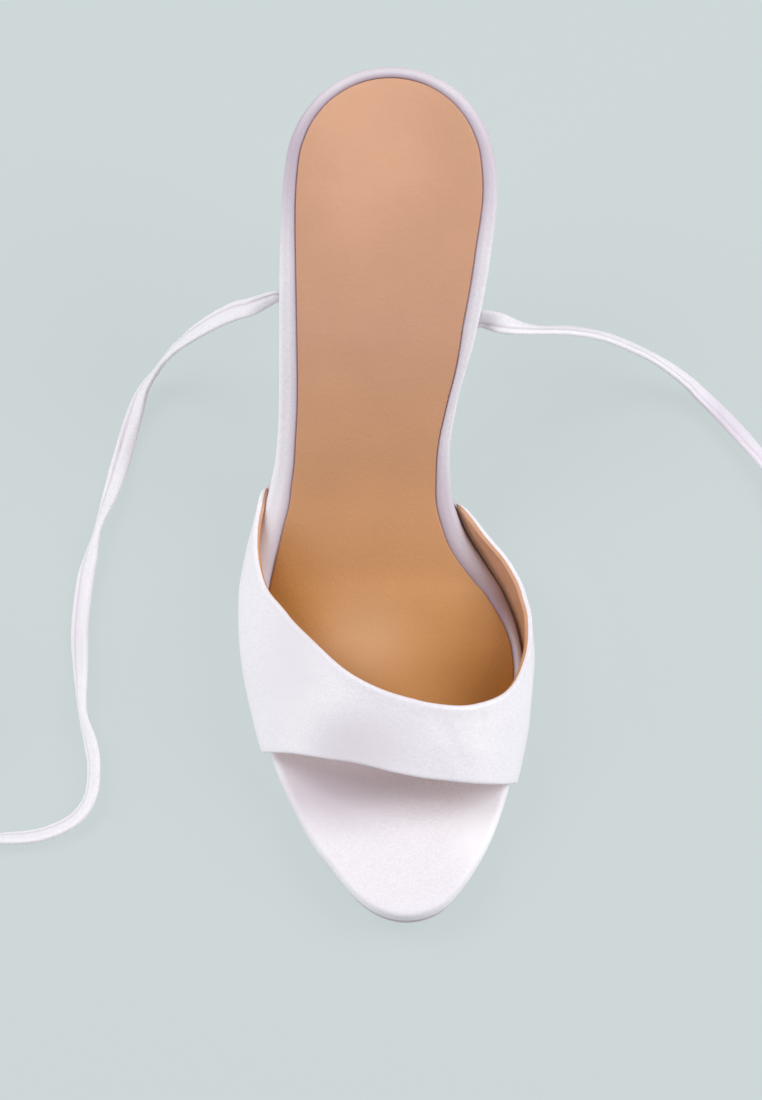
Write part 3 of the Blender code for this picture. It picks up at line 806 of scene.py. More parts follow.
def finish_mesh(name: str, bm: bmesh.types.BMesh, finishes: Sequence[Material]) -> Thing:
    """Make a bmesh a smooth object in the scene.

    Args:
        name: the piece's name.
        bm: its shape, which is freed.
        finishes: the materials of its faces.

    Returns:
        The object.
    """
    bmesh.ops.recalc_face_normals(bm, faces=bm.faces)
    mesh = bpy.data.meshes.new(name)
    bm.to_mesh(mesh)
    bm.free()
    mesh.shade_smooth()
    mesh.set_sharp_from_angle(angle=math.radians(42.0))
    for finish in finishes:
        mesh.materials.append(finish)
    thing = bpy.data.objects.new(name, mesh)
    bpy.context.scene.collection.objects.link(thing)
    return thing


def laid_cloth(columns: int, rows: int, place: Place, size: tuple[float, float], pick: Pick | None = None,
               filled: bool = False) -> bmesh.types.BMesh:
    """Lay a grid of cloth on a form, and weld it where it meets itself.

    Args:
        columns: faces across, where a place's first share runs from 0 to 1.
        rows: faces up, where a place's second share runs from 0 to 1.
        place: the form, from two shares to a point.
        size: the cloth's length and girth in metres, for its own coordinates.
        pick: which finish a face has, from its middle's two shares.
        filled: whether open ends are closed by a face.

    Returns:
        The laid cloth.
    """
    bm = bmesh.new()
    layer = bm.loops.layers.uv.new("cloth")
    bmesh.ops.create_grid(bm, x_segments=columns, y_segments=rows, size=1.0, calc_uvs=True)
    for face in bm.faces:
        middle = face.calc_center_median()
        if pick is not None:
            face.material_index = pick((middle.x + 1.0) / 2.0, (middle.y + 1.0) / 2.0)
        for loop in face.loops:
            loop[layer].uv = (loop[layer].uv.x * size[0], loop[layer].uv.y * size[1])
    for vert in bm.verts:
        vert.co = place((vert.co.x + 1.0) / 2.0, (vert.co.y + 1.0) / 2.0)
    bmesh.ops.remove_doubles(bm, verts=bm.verts, dist=2e-6)
    bmesh.ops.dissolve_degenerate(bm, dist=1e-7, edges=bm.edges)
    if filled:
        bmesh.ops.holes_fill(bm, edges=[edge for edge in bm.edges if edge.is_boundary], sides=0)
    return bm


@dataclass
class Insole:
    """The satin covered footbed with its rolled edge, and the tan sock laid in it.

    The legs are the rows of each section: lateral edge, top, medial edge and underside.
    """

    last: Last
    sock_front: float = 0.240
    sock_depth: float = 0.0016
    sock_thickness: float = 0.0009
    sock_crown: float = 0.0002
    crown_reach: float = 0.004
    recess_step: float = 0.0006
    toe_dish: float = 0.0008
    dish_width: float = 0.022
    dish_reach: float = 0.0150
    crest_inset: float = 0.56
    stations: int = 150
    sock_stations: int = 140
    legs: tuple[int, ...] = (16, 22, 16, 8)
    sock_legs: tuple[int, ...] = (6, 30, 6, 8)

    def __post_init__(self) -> None:
        """Draw the rolled edge's section."""
        self.roll_inset, self.roll_height = column(ROLL, 1), column(ROLL, 2)

    def turns(self) -> list[float]:
        """Find the footbed's stations, with one on each side of the recess's step.

        Returns:
            Their angles in order.
        """
        gap = self.last.gap / self.last.length
        own = [turn_of(self.sock_front - 4.0 * gap), turn_of(self.sock_front - 2.0 * gap)]
        step = math.pi / self.stations
        even = [i * step for i in range(self.stations + 1)]
        return sorted([turn for turn in even if min(abs(turn - o) for o in own) > step / 4.0] + own)

    def recessed(self, share: float) -> bool:
        """Return whether the footbed is recessed for the sock at a share of the length."""
        return share > self.sock_front - 3.0 * self.last.gap / self.last.length

    def toe_drop(self, past: float, turn: float) -> float:
        """Return how far the bare satin toe is dished.

        Args:
            past: metres inside the roll's crest.
            turn: the station's angle.

        Returns:
            The drop in metres.
        """
        edges = self.last.edges
        half = (edges[Side.MEDIAL](turn) - edges[Side.LATERAL](turn)) / 2.0
        return self.toe_dish * ease(half / self.dish_width) * ease(past / self.dish_reach)

    def rolled(self, turn: float, side: Side, way: float) -> Vector:
        """Return a point of the rolled edge.

        Args:
            turn: the station's angle.
            side: which side.
            way: the way round the roll, from its underside.

        Returns:
            The point.
        """
        last = self.last
        share = share_of(turn)
        width, inset, height = last.rolls[side](share), self.roll_inset(way), self.roll_height(way)
        past = (inset - self.crest_inset) * width
        if past > 0.0 and not self.recessed(share):
            height = 1.0 - self.toe_drop(past, turn) / last.footbed_thickness
        height = last.footbed_base + height * last.footbed_thickness
        return last.inside_rim(turn, side, inset * width, height)

    def footbed_point(self, turn: float, row: int) -> Vector:
        """Return a point of the footbed's section at a station.

        Args:
            turn: the station's angle.
            row: how many rows round the section, from the lateral underside.

        Returns:
            The point.
        """
        last = self.last
        leg, way = leg_of(row, self.legs)
        if leg == 0:
            return self.rolled(turn, Side.LATERAL, way)
        if leg == 2:
            return self.rolled(turn, Side.MEDIAL, 1.0 - way)
        left, right = (self.rolled(turn, side, 1.0 if leg == 1 else 0.0) for side in Side)
        if leg == 3:
            return right.lerp(left, way)
        share = share_of(turn)
        up = last.frame_at(share, last.slope_span)[2]
        edge = min(way, 1.0 - way) * (right - left).length
        if self.recessed(share):
            drop = self.sock_depth - (1.0 - self.roll_height(1.0)) * last.footbed_thickness
            return left.lerp(right, way) - up * drop * ease(edge / self.recess_step)
        start = (1.0 - self.crest_inset) * last.rolls[Side.LATERAL](share)
        return left.lerp(right, way) - up * (self.toe_drop(start + edge, turn) - self.toe_drop(start, turn))

    def footbed(self, toe: Material, rand: Material) -> Thing:
        """Return the footbed as an object.

        Args:
            toe: the finish of the bare toe.
            rand: the finish of the rolled edge behind it.

        Returns:
            The object.
        """
        turns = self.turns()
        columns, rows = len(turns) - 1, sum(self.legs)

        def place(u: float, v: float) -> Vector:
            """Return a point of the footbed."""
            return self.footbed_point(turns[round(u * columns)], round(v * rows))

        def pick(u: float, _: float) -> int:
            """Return the finish at a place."""
            return 1 if self.recessed(share_of(turns[int(u * columns)])) else 0

        return finish_mesh("footbed_satin", laid_cloth(columns, rows, place, (0.23, 0.15), pick), [toe, rand])

    def sock_edge(self, turn: float, side: Side, inset: float, height: float) -> Vector:
        """Return a point of the sock's edge.

        Args:
            turn: the station's angle.
            side: which side.
            inset: metres inside the sock's edge.
            height: metres over the sock's middle.

        Returns:
            The point.
        """
        last = self.last
        start = last.rolls[side](share_of(turn)) + last.gap * 0.5
        base = last.footbed_top - self.sock_depth + last.gap + self.sock_thickness / 2.0
        return last.inside_rim(turn, side, start + inset, base + height)

    def sock_point(self, u: float, row: int) -> Vector:
        """Return a point of the sock's section.

        Args:
            u: share of the way from the sock's front to the heel.
            row: how many rows round the section, from the lateral underside.

        Returns:
            The point.
        """
        last = self.last
        first = turn_of(self.sock_front)
        turn = first + u * (math.pi - first)
        half = self.sock_thickness / 2.0 * min(1.0, 0.02 + u * 90.0)
        leg, way = leg_of(row, self.sock_legs)
        if leg in (0, 2):
            side = Side.MEDIAL if leg else Side.LATERAL
            angle = math.pi * ((1.0 - way if leg else way) - 0.5)
            return self.sock_edge(turn, side, half * (1.0 - math.cos(angle)), half * math.sin(angle))
        left, right = (self.sock_edge(turn, side, half, half if leg == 1 else -half) for side in Side)
        if leg == 3:
            return right.lerp(left, way)
        up = last.frame_at(share_of(turn), last.slope_span)[2]
        inner = min(way, 1.0 - way) * (right - left).length
        crown = self.sock_crown * ease(inner / self.crown_reach) * min(1.0, u * 40.0)
        return left.lerp(right, way) + up * crown

    def sock(self, finish: Material) -> Thing:
        """Return the sock as an object.

        Args:
            finish: its leather.

        Returns:
            The object.
        """
        rows = sum(self.sock_legs)

        def place(u: float, v: float) -> Vector:
            """Return a point of the sock."""
            return self.sock_point(u, round(v * rows))

        cloth = laid_cloth(self.sock_stations, rows, place, (0.18, 0.13))
        return finish_mesh("sock_leather", cloth, [finish])


@dataclass
class Vamp:
    """One wide satin band over the toes, folded at its edges and lined with tan leather."""

    last: Last
    wall: float = 0.0015
    outsole_lift: float = 0.0006
    crest_roundness: float = 0.58
    flare_reach: float = 1.4
    slope_span: float = 0.060
    pucker: float = 0.00004
    softening: float = 0.045
    lip: float = 0.50
    lip_reach: float = 0.0026
    columns: int = 150
    face_rows: int = 46
    fold_rows: int = 8
    satin_turned_in: int = -4
    toe_turned_in: int = 9
    foot_taper: float = 50.0
    pucker_reach: float = 0.0035

    def __post_init__(self) -> None:
        """Draw the smooth curves through the vamp's tables."""
        width, height = self.last.ball_width, self.last.instep_height
        self.crest_x, self.crest_z = column(LAST_SECTIONS, 1, width), column(LAST_SECTIONS, 2, height)
        self.flare = {side: column(LAST_SECTIONS, place, width) for place, side in enumerate(Side, 3)}
        self.swell = {side: column(LAST_SECTIONS, place) for place, side in enumerate(Side, 5)}
        self.toe_cut, self.throat_cut = column(VAMP_EDGES, 1), column(VAMP_EDGES, 2)
        self.creases = [(self.middle(*row[:2]), self.way(*row[:3]), *row[3:]) for row in VAMP_CREASES]

    def softly(self, cut: Smooth, around: float) -> float:
        """Return an edge's share of the length, softened over a short way round."""
        reach = min(self.softening, around, 1.0 - around)
        return sum(cut(around + reach * step / 3.0) * (4 - abs(step)) for step in range(-3, 4)) / 16.0

    def middle(self, around: float, along: float) -> Vector:
        """Return the middle of the wall.

        Args:
            around: place round the section, from the lateral to the medial foot.
            along: place along the vamp, from the toe opening to the throat.

        Returns:
            The point.
        """
        last = self.last
        front, back = self.softly(self.toe_cut, around), self.softly(self.throat_cut, around)
        share = front + along * (back - front)
        side = Side.LATERAL if around < 0.5 else Side.MEDIAL
        t = 2.0 * around if side is Side.LATERAL else 2.0 * (1.0 - around)
        clear = (last.gap + self.wall / 2.0) * math.hypot(1.0, last.edge_lean(share, side))
        foot = (last.edge_at(share, side) + side.value * clear, last.outsole_thickness + self.outsole_lift)
        crest = (self.crest_x(share), self.crest_z(share))
        flare = side.value * self.flare[side](share) * self.flare_reach
        swell = self.swell[side](share) * (crest[1] - foot[1])
        points = (
            foot,
            (foot[0] + flare, foot[1] + swell),
            (crest[0] + (foot[0] - crest[0]) * self.crest_roundness, crest[1]),
            crest,
        )
        weights = ((1 - t) ** 3, 3 * t * (1 - t) ** 2, 3 * t * t * (1 - t), t ** 3)
        x, height = (sum(w * p[axis] for w, p in zip(weights, points)) for axis in (0, 1))
        return last.over(share, x, height, self.slope_span)

    def tangents(self, around: float, along: float) -> tuple[Vector, Vector]:
        """Return the wall's directions.

        Args:
            around: place round the section.
            along: place along the vamp.

        Returns:
            The direction round the wall and the direction along it.
        """
        low, high = max(0.0, around - 0.008), min(1.0, around + 0.008)
        round_it = self.middle(high, along) - self.middle(low, along)
        before, after = max(0.0, along - 0.02), min(1.0, along + 0.02)
        along_it = self.middle(around, after) - self.middle(around, before)
        return round_it.normalized(), along_it.normalized()

    def way(self, around: float, along: float, heading: float) -> Vector:
        """Return a heading on the wall.

        Args:
            around: place round the section.
            along: place along the vamp.
            heading: degrees from the toe's way.

        Returns:
            The heading's direction.
        """
        round_it, along_it = self.tangents(around, along)
        angle = math.radians(heading)
        return along_it * math.cos(angle) + round_it * math.sin(angle)

    def relief(self, point: Vector, along: float, reach: float) -> float:
        """Return how far the satin stands out at a point, from its creases and puckers.

        Args:
            point: the point on the wall's middle.
            along: its place along the vamp.
            reach: the vamp's width there in metres.

        Returns:
            The height in metres.
        """
        height = 0.0
        for centre, way, half_length, half_width, deep in self.creases:
            off = point - centre
            down = off.dot(way)
            aside = (off - way * down).length
            if aside < 3.0 * half_width and abs(down) < 2.0 * half_length:
                height += deep * bell(aside, half_width) * bell(down, half_length)
        edge = min(along, 1.0 - along) * reach
        ripple = noise.noise(point * 210.0) + 0.5 * noise.noise(point * 460.0)
        return height + self.pucker * ripple * bell(edge, self.pucker_reach)

    def wall_point(self, around: float, row: int) -> Vector:
        """Return a point of the wall's closed section.

        Args:
            around: place round the vamp.
            row: how many rows round the wall, from the toe opening's outer edge.

        Returns:
            The point.
        """
        half = self.wall / 2.0
        foot = min(1.0, min(around, 1.0 - around) * self.foot_taper)
        reach = (self.middle(around, 1.0) - self.middle(around, 0.0)).length
        leg, way = leg_of(row, (self.face_rows, self.fold_rows) * 2)
        angle = math.pi * way
        along, out, past = (
            (way, 1.0, 0.0),
            (1.0, math.cos(angle), math.sin(angle)),
            (1.0 - way, -1.0, 0.0),
            (0.0, -math.cos(angle), -math.sin(angle)),
        )[leg]
        inset = half / reach
        along = inset + along * (1.0 - 2.0 * inset)
        point = self.middle(around, along)
        round_it, along_it = self.tangents(around, along)
        normal = round_it.cross(along_it).normalized()
        if normal.z < 0.0 and 0.1 < around < 0.9:
            normal.negate()
        if around > 0.9 and normal.x < 0.0 or around < 0.1 and normal.x > 0.0:
            normal.negate()
        taper = math.sqrt(1.0 - (1.0 - foot) ** 2)
        rolled = 1.0 + self.lip * bell((1.0 - along) * reach, self.lip_reach)
        thick = half * taper * rolled
        lift = self.relief(point, along, reach)
        return point + normal * (thick * out + lift - half * (1.0 - taper)) + along_it * thick * past

    def build(self, satin: Material, lining: Material) -> Thing:
        """Return the vamp as an object.

        Args:
            satin: the finish of its outer face and its turned in edges.
            lining: the finish of its inner face.

        Returns:
            The object.
        """
        rows = 2 * (self.face_rows + self.fold_rows)
        first = self.face_rows + self.fold_rows + self.satin_turned_in
        last = 2 * self.face_rows + self.fold_rows - self.toe_turned_in

        def place(u: float, v: float) -> Vector:
            """Return a point of the wall."""
            return self.wall_point(u, round(v * rows))

        def pick(_: float, v: float) -> int:
            """Return the finish at a place."""
            return 1 if first <= v * rows <= last else 0

        cloth = laid_cloth(self.columns, rows, place, (0.14, 0.12), pick)
        return finish_mesh("vamp_satin", cloth, [satin, lining])


@dataclass
class Outsole:
    """The thin outsole, flat at the forefoot and rising over the shank."""

    last: Last
    end: float = 0.785
    inset: float = 0.0008
    margin: float = 0.0020
    roundness: float = 0.8
    squareness: float = 0.6
    stations: int = 130
    legs: tuple[int, ...] = (10, 16, 10, 16)

    def __post_init__(self) -> None:
        """Draw the margins' curves."""
        self.margins = {Side.LATERAL: Smooth(LATERAL_MARGIN), Side.MEDIAL: Smooth(MEDIAL_MARGIN)}

    def rounded(self, turn: float, side: Side, way: float) -> Vector:
        """Return a point of the rounded edge.

        Args:
            turn: the station's angle.
            side: which side.
            way: the way round the edge, from its underside.

        Returns:
            The point.
        """
        half = self.last.outsole_thickness / 2.0
        angle = math.pi * (way - 0.5)
        out, up = flattened(math.cos(angle), self.squareness), flattened(math.sin(angle), self.squareness)
        start = self.inset - self.margins[side](share_of(turn)) * self.margin
        inset = start + half * self.roundness * (1.0 - out)
        return self.last.inside_rim(turn, side, inset, half + half * up)

    def build(self, tread: Material, ink: Material, shaded: Material) -> Thing:
        """Return the outsole as an object.

        Args:
            tread: the finish of its underside.
            ink: the finish of its edge.
            shaded: the finish of its upper side, painted dark as shade under the upper's edge.

        Returns:
            The object.
        """
        last_turn = turn_of(self.end - 2.0 * self.last.gap / self.last.length)
        rows = sum(self.legs)
        edge, across = self.legs[:2]

        def place(u: float, v: float) -> Vector:
            """Return a point of the outsole.

            Args:
                u: share of the way from the toe.
                v: share of the way round the section.

            Returns:
                The point.
            """
            leg, way = leg_of(round(v * rows), self.legs)
            if leg in (0, 2):
                side = Side.MEDIAL if leg else Side.LATERAL
                return self.rounded(last_turn * u, side, 1.0 - way if leg else way)
            left, right = (self.rounded(last_turn * u, side, 1.0 if leg == 1 else 0.0) for side in Side)
            return left.lerp(right, way) if leg == 1 else right.lerp(left, way)

        def pick(_: float, v: float) -> int:
            """Return the finish at a place.

            Args:
                _: share of the length, which the finish doesn't follow.
                v: share of the way round the section.

            Returns:
                The finish's number.
            """
            # The upper side takes the painted shade
            if edge - 1 <= v * rows <= edge + across + 1:
                return 2
            return 1 if 2 < v * rows < 2 * edge + across - 2 else 0

        cloth = laid_cloth(self.stations, rows, place, (0.2, 0.15), pick, True)
        return finish_mesh("outsole_board", cloth, [tread, ink, shaded])


@dataclass
class Heel:
    """The slim satin covered heel and the hard top piece under its tip."""

    last: Last
    breast: float = 0.785
    inset: float = 0.0010
    hollow: float = 0.0035
    setback: float = 0.0225
    tip_radius: float = 0.0056
    top_piece: float = 0.0055
    around: int = 96
    down: int = 44
    side_steps: int = 40
    breast_steps: int = 16

    def __post_init__(self) -> None:
        """Draw the seat's outline and the tip's middle."""
        self.taper = Smooth(HEEL_TAPER)
        self.seat = self.even_loop(self.seat_outline())
        axis = self.last.edges[Side.MEDIAL](math.pi)
        place = self.last.place
        self.tip = Vector((axis + place[0], self.last.length / 2.0 - self.setback + place[1], 0.0))

    def seat_outline(self) -> list[Vector]:
        """Draw the seat's outline: lateral breast corner, round the back, and across.

        Returns:
            Its points.
        """
        last = self.last
        first = turn_of(self.breast)
        turns = [first + (math.pi - first) * i / self.side_steps for i in range(self.side_steps + 1)]
        height = last.outsole_thickness
        loop = [last.inside_rim(turn, Side.LATERAL, self.inset, height) for turn in turns]
        loop += [last.inside_rim(turn, Side.MEDIAL, self.inset, height) for turn in turns[-2::-1]]
        corner, opposite = loop[-1], loop[0]
        along = last.frame_at(self.breast, last.slope_span)[1]
        for i in range(1, self.breast_steps):
            t = i / self.breast_steps
            loop.append(corner.lerp(opposite, t) + along * self.hollow * math.sin(math.pi * t))
        return loop

    def even_loop(self, loop: list[Vector]) -> list[Vector]:
        """Space a loop's points evenly, with its corners softened.

        Args:
            loop: its points.

        Returns:
            The even points.
        """
        even = evenly(loop + [loop[0]], self.around)
        for _ in range(3):
            ring = zip([even[-1]] + even, even, even[1:] + [even[0]])
            even = [(a + b * 2.0 + c) / 4.0 for a, b, c in ring]
        return even

    def build_heel(self, finish: Material) -> Thing:
        """Return the heel as an object.

        Args:
            finish: its material.

        Returns:
            The object.
        """
        foot = self.top_piece + self.last.gap
        middle = sum(self.seat, Vector()) / len(self.seat)

        def place(u: float, v: float) -> Vector:
            """Return a point of the heel, from its seat down to its tip.

            Args:
                u: share of the way round.
                v: share of the drop.

            Returns:
                The point.
            """
            high = self.seat[round(u * self.around) % self.around]
            way = Vector((high.x - middle.x, high.y - middle.y, 0.0)).normalized()
            low = self.tip + way * self.tip_radius + UP * foot
            drop = v * v * (1.6 - 0.6 * v)
            flat = high.lerp(low, self.taper(drop))
            return Vector((flat.x, flat.y, high.z + (low.z - high.z) * drop))

        cloth = laid_cloth(self.around, self.down, place, (0.15, 0.085), filled=True)
        return finish_mesh("heel_satin", cloth, [finish])

    def build_top_piece(self, finish: Material) -> Thing:
        """Return the top piece as an object.

        Args:
            finish: its material.

        Returns:
            The object.
        """
        bm = bmesh.new()
        bmesh.ops.create_circle(bm, cap_ends=True, segments=self.around, radius=self.tip_radius)
        lifted = bmesh.ops.extrude_face_region(bm, geom=list(bm.faces))
        top = [part for part in lifted["geom"] if isinstance(part, bmesh.types.BMVert)]
        bmesh.ops.translate(bm, vec=(0.0, 0.0, self.top_piece), verts=top)
        rims = [edge for edge in bm.edges
                if len(edge.link_faces) == 2 and max(len(face.verts) for face in edge.link_faces) > 4]
        bmesh.ops.bevel(bm, geom=rims, offset=0.0004, segments=3, profile=0.5, affect="EDGES", material=-1)
        bmesh.ops.translate(bm, vec=self.tip, verts=bm.verts)
        return finish_mesh("top_piece_hard", bm, [finish])


@dataclass
class Tie:
    """A flat satin tie: seen along its route, then wound on edge, with a knot at its end."""

    last: Last
    name: str
    side: Side
    share: float
    route: tuple[tuple[float, float, float, float], ...]
    centre: tuple[float, float]
    entry: float
    sweep: float
    turned: float
    pitch: float
    wall: float
    direction: float
    width: float = 0.0055
    thickness: float = 0.0020
    root_run: float = 0.0020
    tuck: float = 0.0010
    pucker: float = 0.00006
    pinch: float = 0.0
    pinch_reach: float = 0.008
    groove: float = 0.38
    groove_at: float = 0.42
    groove_width: float = 0.20
    crease: float = 0.14
    crease_at: float = -0.30
    crease_width: float = 0.26
    spacing: float = 0.0010
    coil_radius: float = 0.0348
    ring_radius: float = 0.0357
    coil_height: float = 0.0030
    knot_radius: float = 0.0042
    knot_height: float = 0.0029
    outsole_inset: float = 0.0008
    coil_step: float = 12.0
    coil_end: float = 75.0
    end_clear: float = 0.0022
    rows: int = 36
    knot_loop: float = 0.0029
    knot_tube: float = 0.00125
    knot_rise: float = 0.0011
    points: list[Vector] = field(init=False)

    def __post_init__(self) -> None:
        """Lay the tie's route and coil, and space its points evenly."""
        line = self.smoothly([*self.root(), *self.seen(), *self.coil()])
        self.points = evenly(line, round(run_of(line) / self.spacing)) + [line[-1]]

    def root(self) -> list[Vector]:
        """Lay the first points, from under the rolled edge straight out.

        Returns:
            The points, each with its turn in degrees.
        """
        last = self.last
        _, along, _ = last.frame_at(self.share, last.slope_span)
        tilt = math.degrees(math.atan2(along.z, along.y))
        lean = abs(last.edge_lean(self.share, self.side))
        clear = lean * self.width / 2.0 - (self.outsole_inset - last.gap) * math.hypot(1.0, lean)
        x = last.edge_at(self.share, self.side) + self.side.value * clear
        start = last.over(self.share, x, last.outsole_thickness / 2.0, last.slope_span)
        out = Vector((self.side.value, 0.0, 0.0))
        turn = self.side.value * tilt
        return [Vector((*(start + out * run), turn)) for run in (-self.tuck, 0.0, self.root_run)]

    def seen(self) -> list[Vector]:
        """Return the points of the route in the world."""
        place = Vector(self.last.place)
        return [Vector((*(Vector(row[:3]) + place), row[3])) for row in self.route]

    def middle(self) -> Vector:
        """Return the coil's middle on the floor."""
        return Vector((*self.centre, 0.0)) + Vector(self.last.place)

    def knot_place(self) -> Vector:
        """Find the knot's middle, against the inside of the ring.

        Returns:
            The point.
        """
        reach = self.ring_radius - self.wall - self.last.gap - self.knot_radius
        heading = math.radians(self.direction)
        x, y = reach * math.cos(heading), reach * math.sin(heading)
        return self.middle() + Vector((x, y, self.knot_height))

    def coil(self) -> list[Vector]:
        """Lay the flat spiral on edge, and its end at the knot.

        Returns:
            The points, each with its turn in degrees.
        """
        middle = self.middle()
        reach = (self.knot_place() - middle).xy.length + self.end_clear
        steps = round(abs(self.sweep) / self.coil_step)
        points = []
        for i in range(steps + 1):
            swept = self.sweep * i / steps
            radius = self.coil_radius - self.pitch * abs(swept) / 360.0
            radius += (reach - radius) * ease((abs(swept) - abs(self.sweep) + self.coil_end) / self.coil_end)
            angle = math.radians(self.entry + swept)
            place = middle + Vector((radius * math.cos(angle), radius * math.sin(angle), self.coil_height))
            points.append(Vector((*place, self.turned)))
        return points

    def smoothly(self, points: list[Vector]) -> list[Vector]:
        """Draw a smooth curve through some points.

        Args:
            points: the points.

        Returns:
            Sixteen points for each step, and the end.
        """
        ends = [points[0]] + points + [points[-1]]
        fine = []
        for a, b, c, d in zip(ends, ends[1:], ends[2:], ends[3:]):
            for i in range(16):
                t = i / 16.0
                fine.append(0.5 * (2 * b + (c - a) * t + (2 * a - 5 * b + 4 * c - d) * t * t
                                   + (3 * b - a - 3 * c + d) * t ** 3))
        return fine + [points[-1]]

    def section(self, run: float, angle: float) -> tuple[float, float]:
        """Return a point of the ribbon's section.

        Args:
            run: metres from the root, for the puckers.
            angle: angle round the section.

        Returns:
            Its place across the width and through the thickness.
        """
        across = flattened(math.cos(angle), 0.8)
        seed = self.share * 40.0
        ripple = noise.noise(Vector((run * 300.0, seed, 0.0)))
        slow = noise.noise(Vector((run * 60.0, seed, 5.0)))
        full = 1.0 - self.groove * bell(across - self.groove_at, self.groove_width) * (1.0 + 0.4 * ripple)
        full -= self.crease * bell(across - self.crease_at, self.crease_width) * ease(0.5 + 2.0 * slow)
        full *= 1.0 + 0.10 * slow
        seam = ease((across - 0.40) / 0.35)
        gathered = 1.0 - self.pinch * bell(run, self.pinch_reach)
        x = across * self.width / 2.0 * gathered * (1.0 + 0.06 * slow) + seam * self.pucker * ripple
        y = flattened(math.sin(angle), 0.75) * self.thickness / 2.0 * full
        y += seam * 1.4 * self.pucker * noise.noise(Vector((run * 330.0, seed, 9.0)))
        return x, y

    def build_ribbon(self, finish: Material) -> Thing:
        """Return the ribbon as an object.

        Args:
            finish: its satin.

        Returns:
            The object.
        """
        points = self.points
        columns, total = len(points) - 1, run_of(points)

        def place(u: float, v: float) -> Vector:
            """Return a point of the ribbon.

            Args:
                u: share of the length.
                v: share of the way round the section.

            Returns:
                The point.
            """
            i = round(u * columns)
            here = points[i]
            tangent = (points[min(i + 1, columns)].xyz - points[max(i - 1, 0)].xyz).normalized()
            across = tangent.cross(UP).normalized()
            turn = math.radians(here.w)
            wide = across * math.cos(turn) - across.cross(tangent) * math.sin(turn)
            x, y = self.section(total * i / columns, 2.0 * math.pi * v)
            closing = math.sqrt(min(1.0, min(i, columns - i) / 3.0))
            return here.xyz + wide * x + wide.cross(tangent) * y * closing

        cloth = laid_cloth(columns, self.rows, place, (total, 2.0 * self.width))
        return finish_mesh(f"tie_{self.name}", cloth, [finish])

    def build_knot(self, finish: Material) -> Thing:
        """Return the overhand knot at the tie's end as an object.

        Args:
            finish: its satin.

        Returns:
            The object.
        """
        centre = self.knot_place()

        def along(u: float) -> Vector:
            """Return a point of the knot's line.

            Args:
                u: share of its length.

            Returns:
                The point.
            """
            t = 2.0 * math.pi * u
            x = self.knot_loop * (math.sin(t) + 2.0 * math.sin(2.0 * t)) / 3.0
            y = self.knot_loop * (math.cos(t) - 2.0 * math.cos(2.0 * t)) / 3.0
            return centre + Vector((x, y, -self.knot_rise * math.sin(3.0 * t)))

        def place(u: float, v: float) -> Vector:
            """Return a point of the knot.

            Args:
                u: share of the line's length.
                v: share of the way round the tube.

            Returns:
                The point.
            """
            tangent = (along(u + 0.004) - along(u - 0.004)).normalized()
            across = tangent.cross(UP).normalized()
            angle = 2.0 * math.pi * v
            size = self.knot_tube * (1.0 + 0.10 * noise.noise(along(u) * 900.0))
            wide = across * size * 1.1 * math.cos(angle)
            return along(u) + wide + across.cross(tangent) * size * math.sin(angle)

        cloth = laid_cloth(120, 18, place, (0.03, 0.008))
        return finish_mesh(f"knot_{self.name}_satin", cloth, [finish])


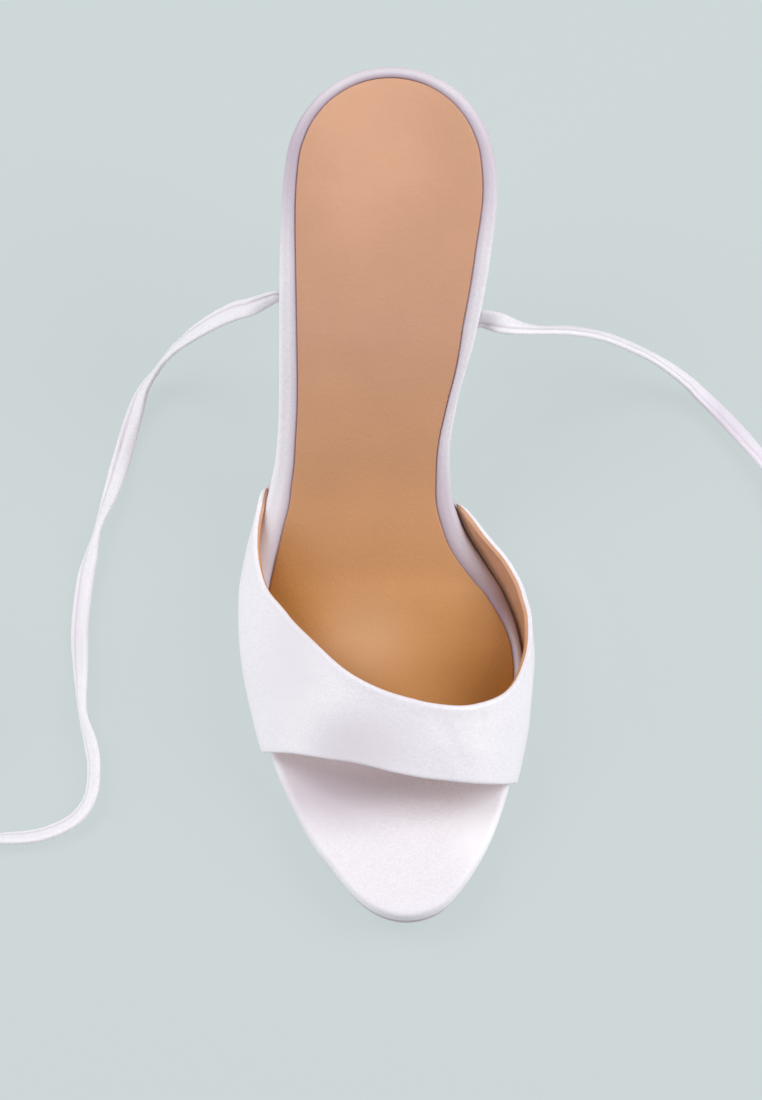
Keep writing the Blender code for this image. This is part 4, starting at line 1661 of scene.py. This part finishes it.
@dataclass
class Studio:
    """The plain floor, the soft light and the camera."""

    floor_colour: Colour = (0.617, 0.686, 0.694)
    floor_base: Colour = (0.090, 0.101, 0.099)
    floor_glow: float = 0.840
    sky_colour: Colour = (0.97, 0.88, 0.98)
    sky_strength: float = 0.30
    camera_place: Triple = (-0.0015, -0.4108, 1.2664)
    camera_tilt: float = 18.0
    focal_pixels: float = 4668.0
    frame_pixels: float = 1100.0

    def camera(self) -> None:
        """Add the camera at the photograph's viewing angle."""
        data = bpy.data.cameras.new("portrait")
        data.sensor_width = 36.0
        data.lens = self.focal_pixels * data.sensor_width / self.frame_pixels
        data.clip_end = 20.0
        camera = bpy.data.objects.new("portrait", data)
        camera.location = self.camera_place
        camera.rotation_euler = (math.radians(self.camera_tilt), 0.0, 0.0)
        bpy.context.scene.collection.objects.link(camera)
        bpy.context.scene.camera = camera

    def floor(self) -> None:
        """Add the floor, which is no part of the shoe."""
        board = NodeBoard("pale_floor")
        board.set(Base_Color=solid(self.floor_base), Roughness=0.9, Specular_IOR_Level=0.1)
        board.set(Emission_Color=solid(self.floor_colour), Emission_Strength=self.floor_glow)
        bm = bmesh.new()
        bmesh.ops.create_grid(bm, x_segments=1, y_segments=1, size=4.0)
        floor = finish_mesh("floor", bm, [board.material])

    def lamp(self, name: str, place: Triple, aim: Triple, size: float, power: float) -> None:
        """Add a soft lamp.

        Args:
            name: its name.
            place: where it stands.
            aim: what it points at.
            size: the side of its square face.
            power: watts.
        """
        data = bpy.data.lights.new(name, "AREA")
        data.size = size
        data.energy = power
        lamp = bpy.data.objects.new(name, data)
        lamp.location = place
        lamp.rotation_euler = (Vector(aim) - Vector(place)).to_track_quat("-Z", "Y").to_euler()
        bpy.context.scene.collection.objects.link(lamp)

    def light(self) -> None:
        """Add the lamps and the pale surroundings."""
        for row in LAMPS:
            self.lamp(*row)
        world = bpy.data.worlds.new("studio")
        world.use_nodes = True
        tree = world.node_tree
        sky = tree.nodes["Background"]
        sky.inputs["Color"].default_value = solid(self.sky_colour)
        sky.inputs["Strength"].default_value = self.sky_strength
        backdrop = tree.nodes.new("ShaderNodeBackground")
        backdrop.inputs["Color"].default_value = solid(self.floor_colour)
        seen = tree.nodes.new("ShaderNodeLightPath")
        either = tree.nodes.new("ShaderNodeMixShader")
        tree.links.new(seen.outputs["Is Camera Ray"], either.inputs[0])
        tree.links.new(sky.outputs[0], either.inputs[1])
        tree.links.new(backdrop.outputs[0], either.inputs[2])
        tree.links.new(either.outputs[0], tree.nodes["World Output"].inputs["Surface"])
        bpy.context.scene.world = world
        bpy.context.scene.view_settings.view_transform = "Standard"


def carry(piece: Thing, slot: str, *nodes: str) -> None:
    """Hang a piece on the shoe in place of its solids.

    Args:
        piece: the piece.
        slot: not used.
        *nodes: the solids that it stands for.
    """
    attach(piece, "root")
    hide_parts(*nodes)
    LOG.info("%s: %d faces", piece.name, len(piece.data.polygons))


def tie_up(tie: Tie, finish: Material) -> None:
    """Args:
        tie: the tie.
        finish: its satin.
    """
    ribbon, knot = tie.build_ribbon(finish), tie.build_knot(finish)
    carry(ribbon, "tie_satin", f"lace_{tie.name}", f"coil_{tie.name}")
    carry(knot, "tie_satin", f"knot_{tie.name}")
    length = run_of(tie.points)
    LOG.info("%s is %.3f m long", ribbon.name, length)
    [tuple(point.xyz) for point in tie.points]


def main() -> None:
    """Build the sandal's dressed pieces in order."""
    logging.basicConfig(level=logging.INFO, format="%(message)s")
    studio = Studio()
    studio.camera()
    last = Last()
    wardrobe = Wardrobe()
    tie_up(Tie(last, "lateral", Side.LATERAL, 0.750, LATERAL_ROUTE, centre=(-0.1470, -0.0500), entry=270.0,
               sweep=-970.0, turned=90.0, pitch=0.0022, wall=0.0103, direction=20.0, pinch=0.38),
           wardrobe.tie_satin)
    tie_up(Tie(last, "medial", Side.MEDIAL, 0.728, MEDIAL_ROUTE, centre=(0.1490, 0.0220), entry=200.0,
               sweep=1270.0, turned=-90.0, pitch=0.0026, wall=0.0120, direction=30.0),
           wardrobe.tie_satin)
    studio.floor()
    studio.light()
    insole = Insole(last)
    carry(insole.footbed(wardrobe.satin, wardrobe.rand), "satin", "footbed")
    carry(insole.sock(wardrobe.tan), "sock_leather", "sock")
    carry(Vamp(last).build(wardrobe.satin, wardrobe.lining), "satin", "upper")
    carry(Outsole(last).build(wardrobe.tread, wardrobe.ink, wardrobe.shaded), "tread", "outsole")
    heel = Heel(last)
    carry(heel.build_heel(wardrobe.satin), "satin", "heel")
    carry(heel.build_top_piece(wardrobe.hard), "top_piece", "heel_top_piece")


if __name__ == "__main__":
    main()
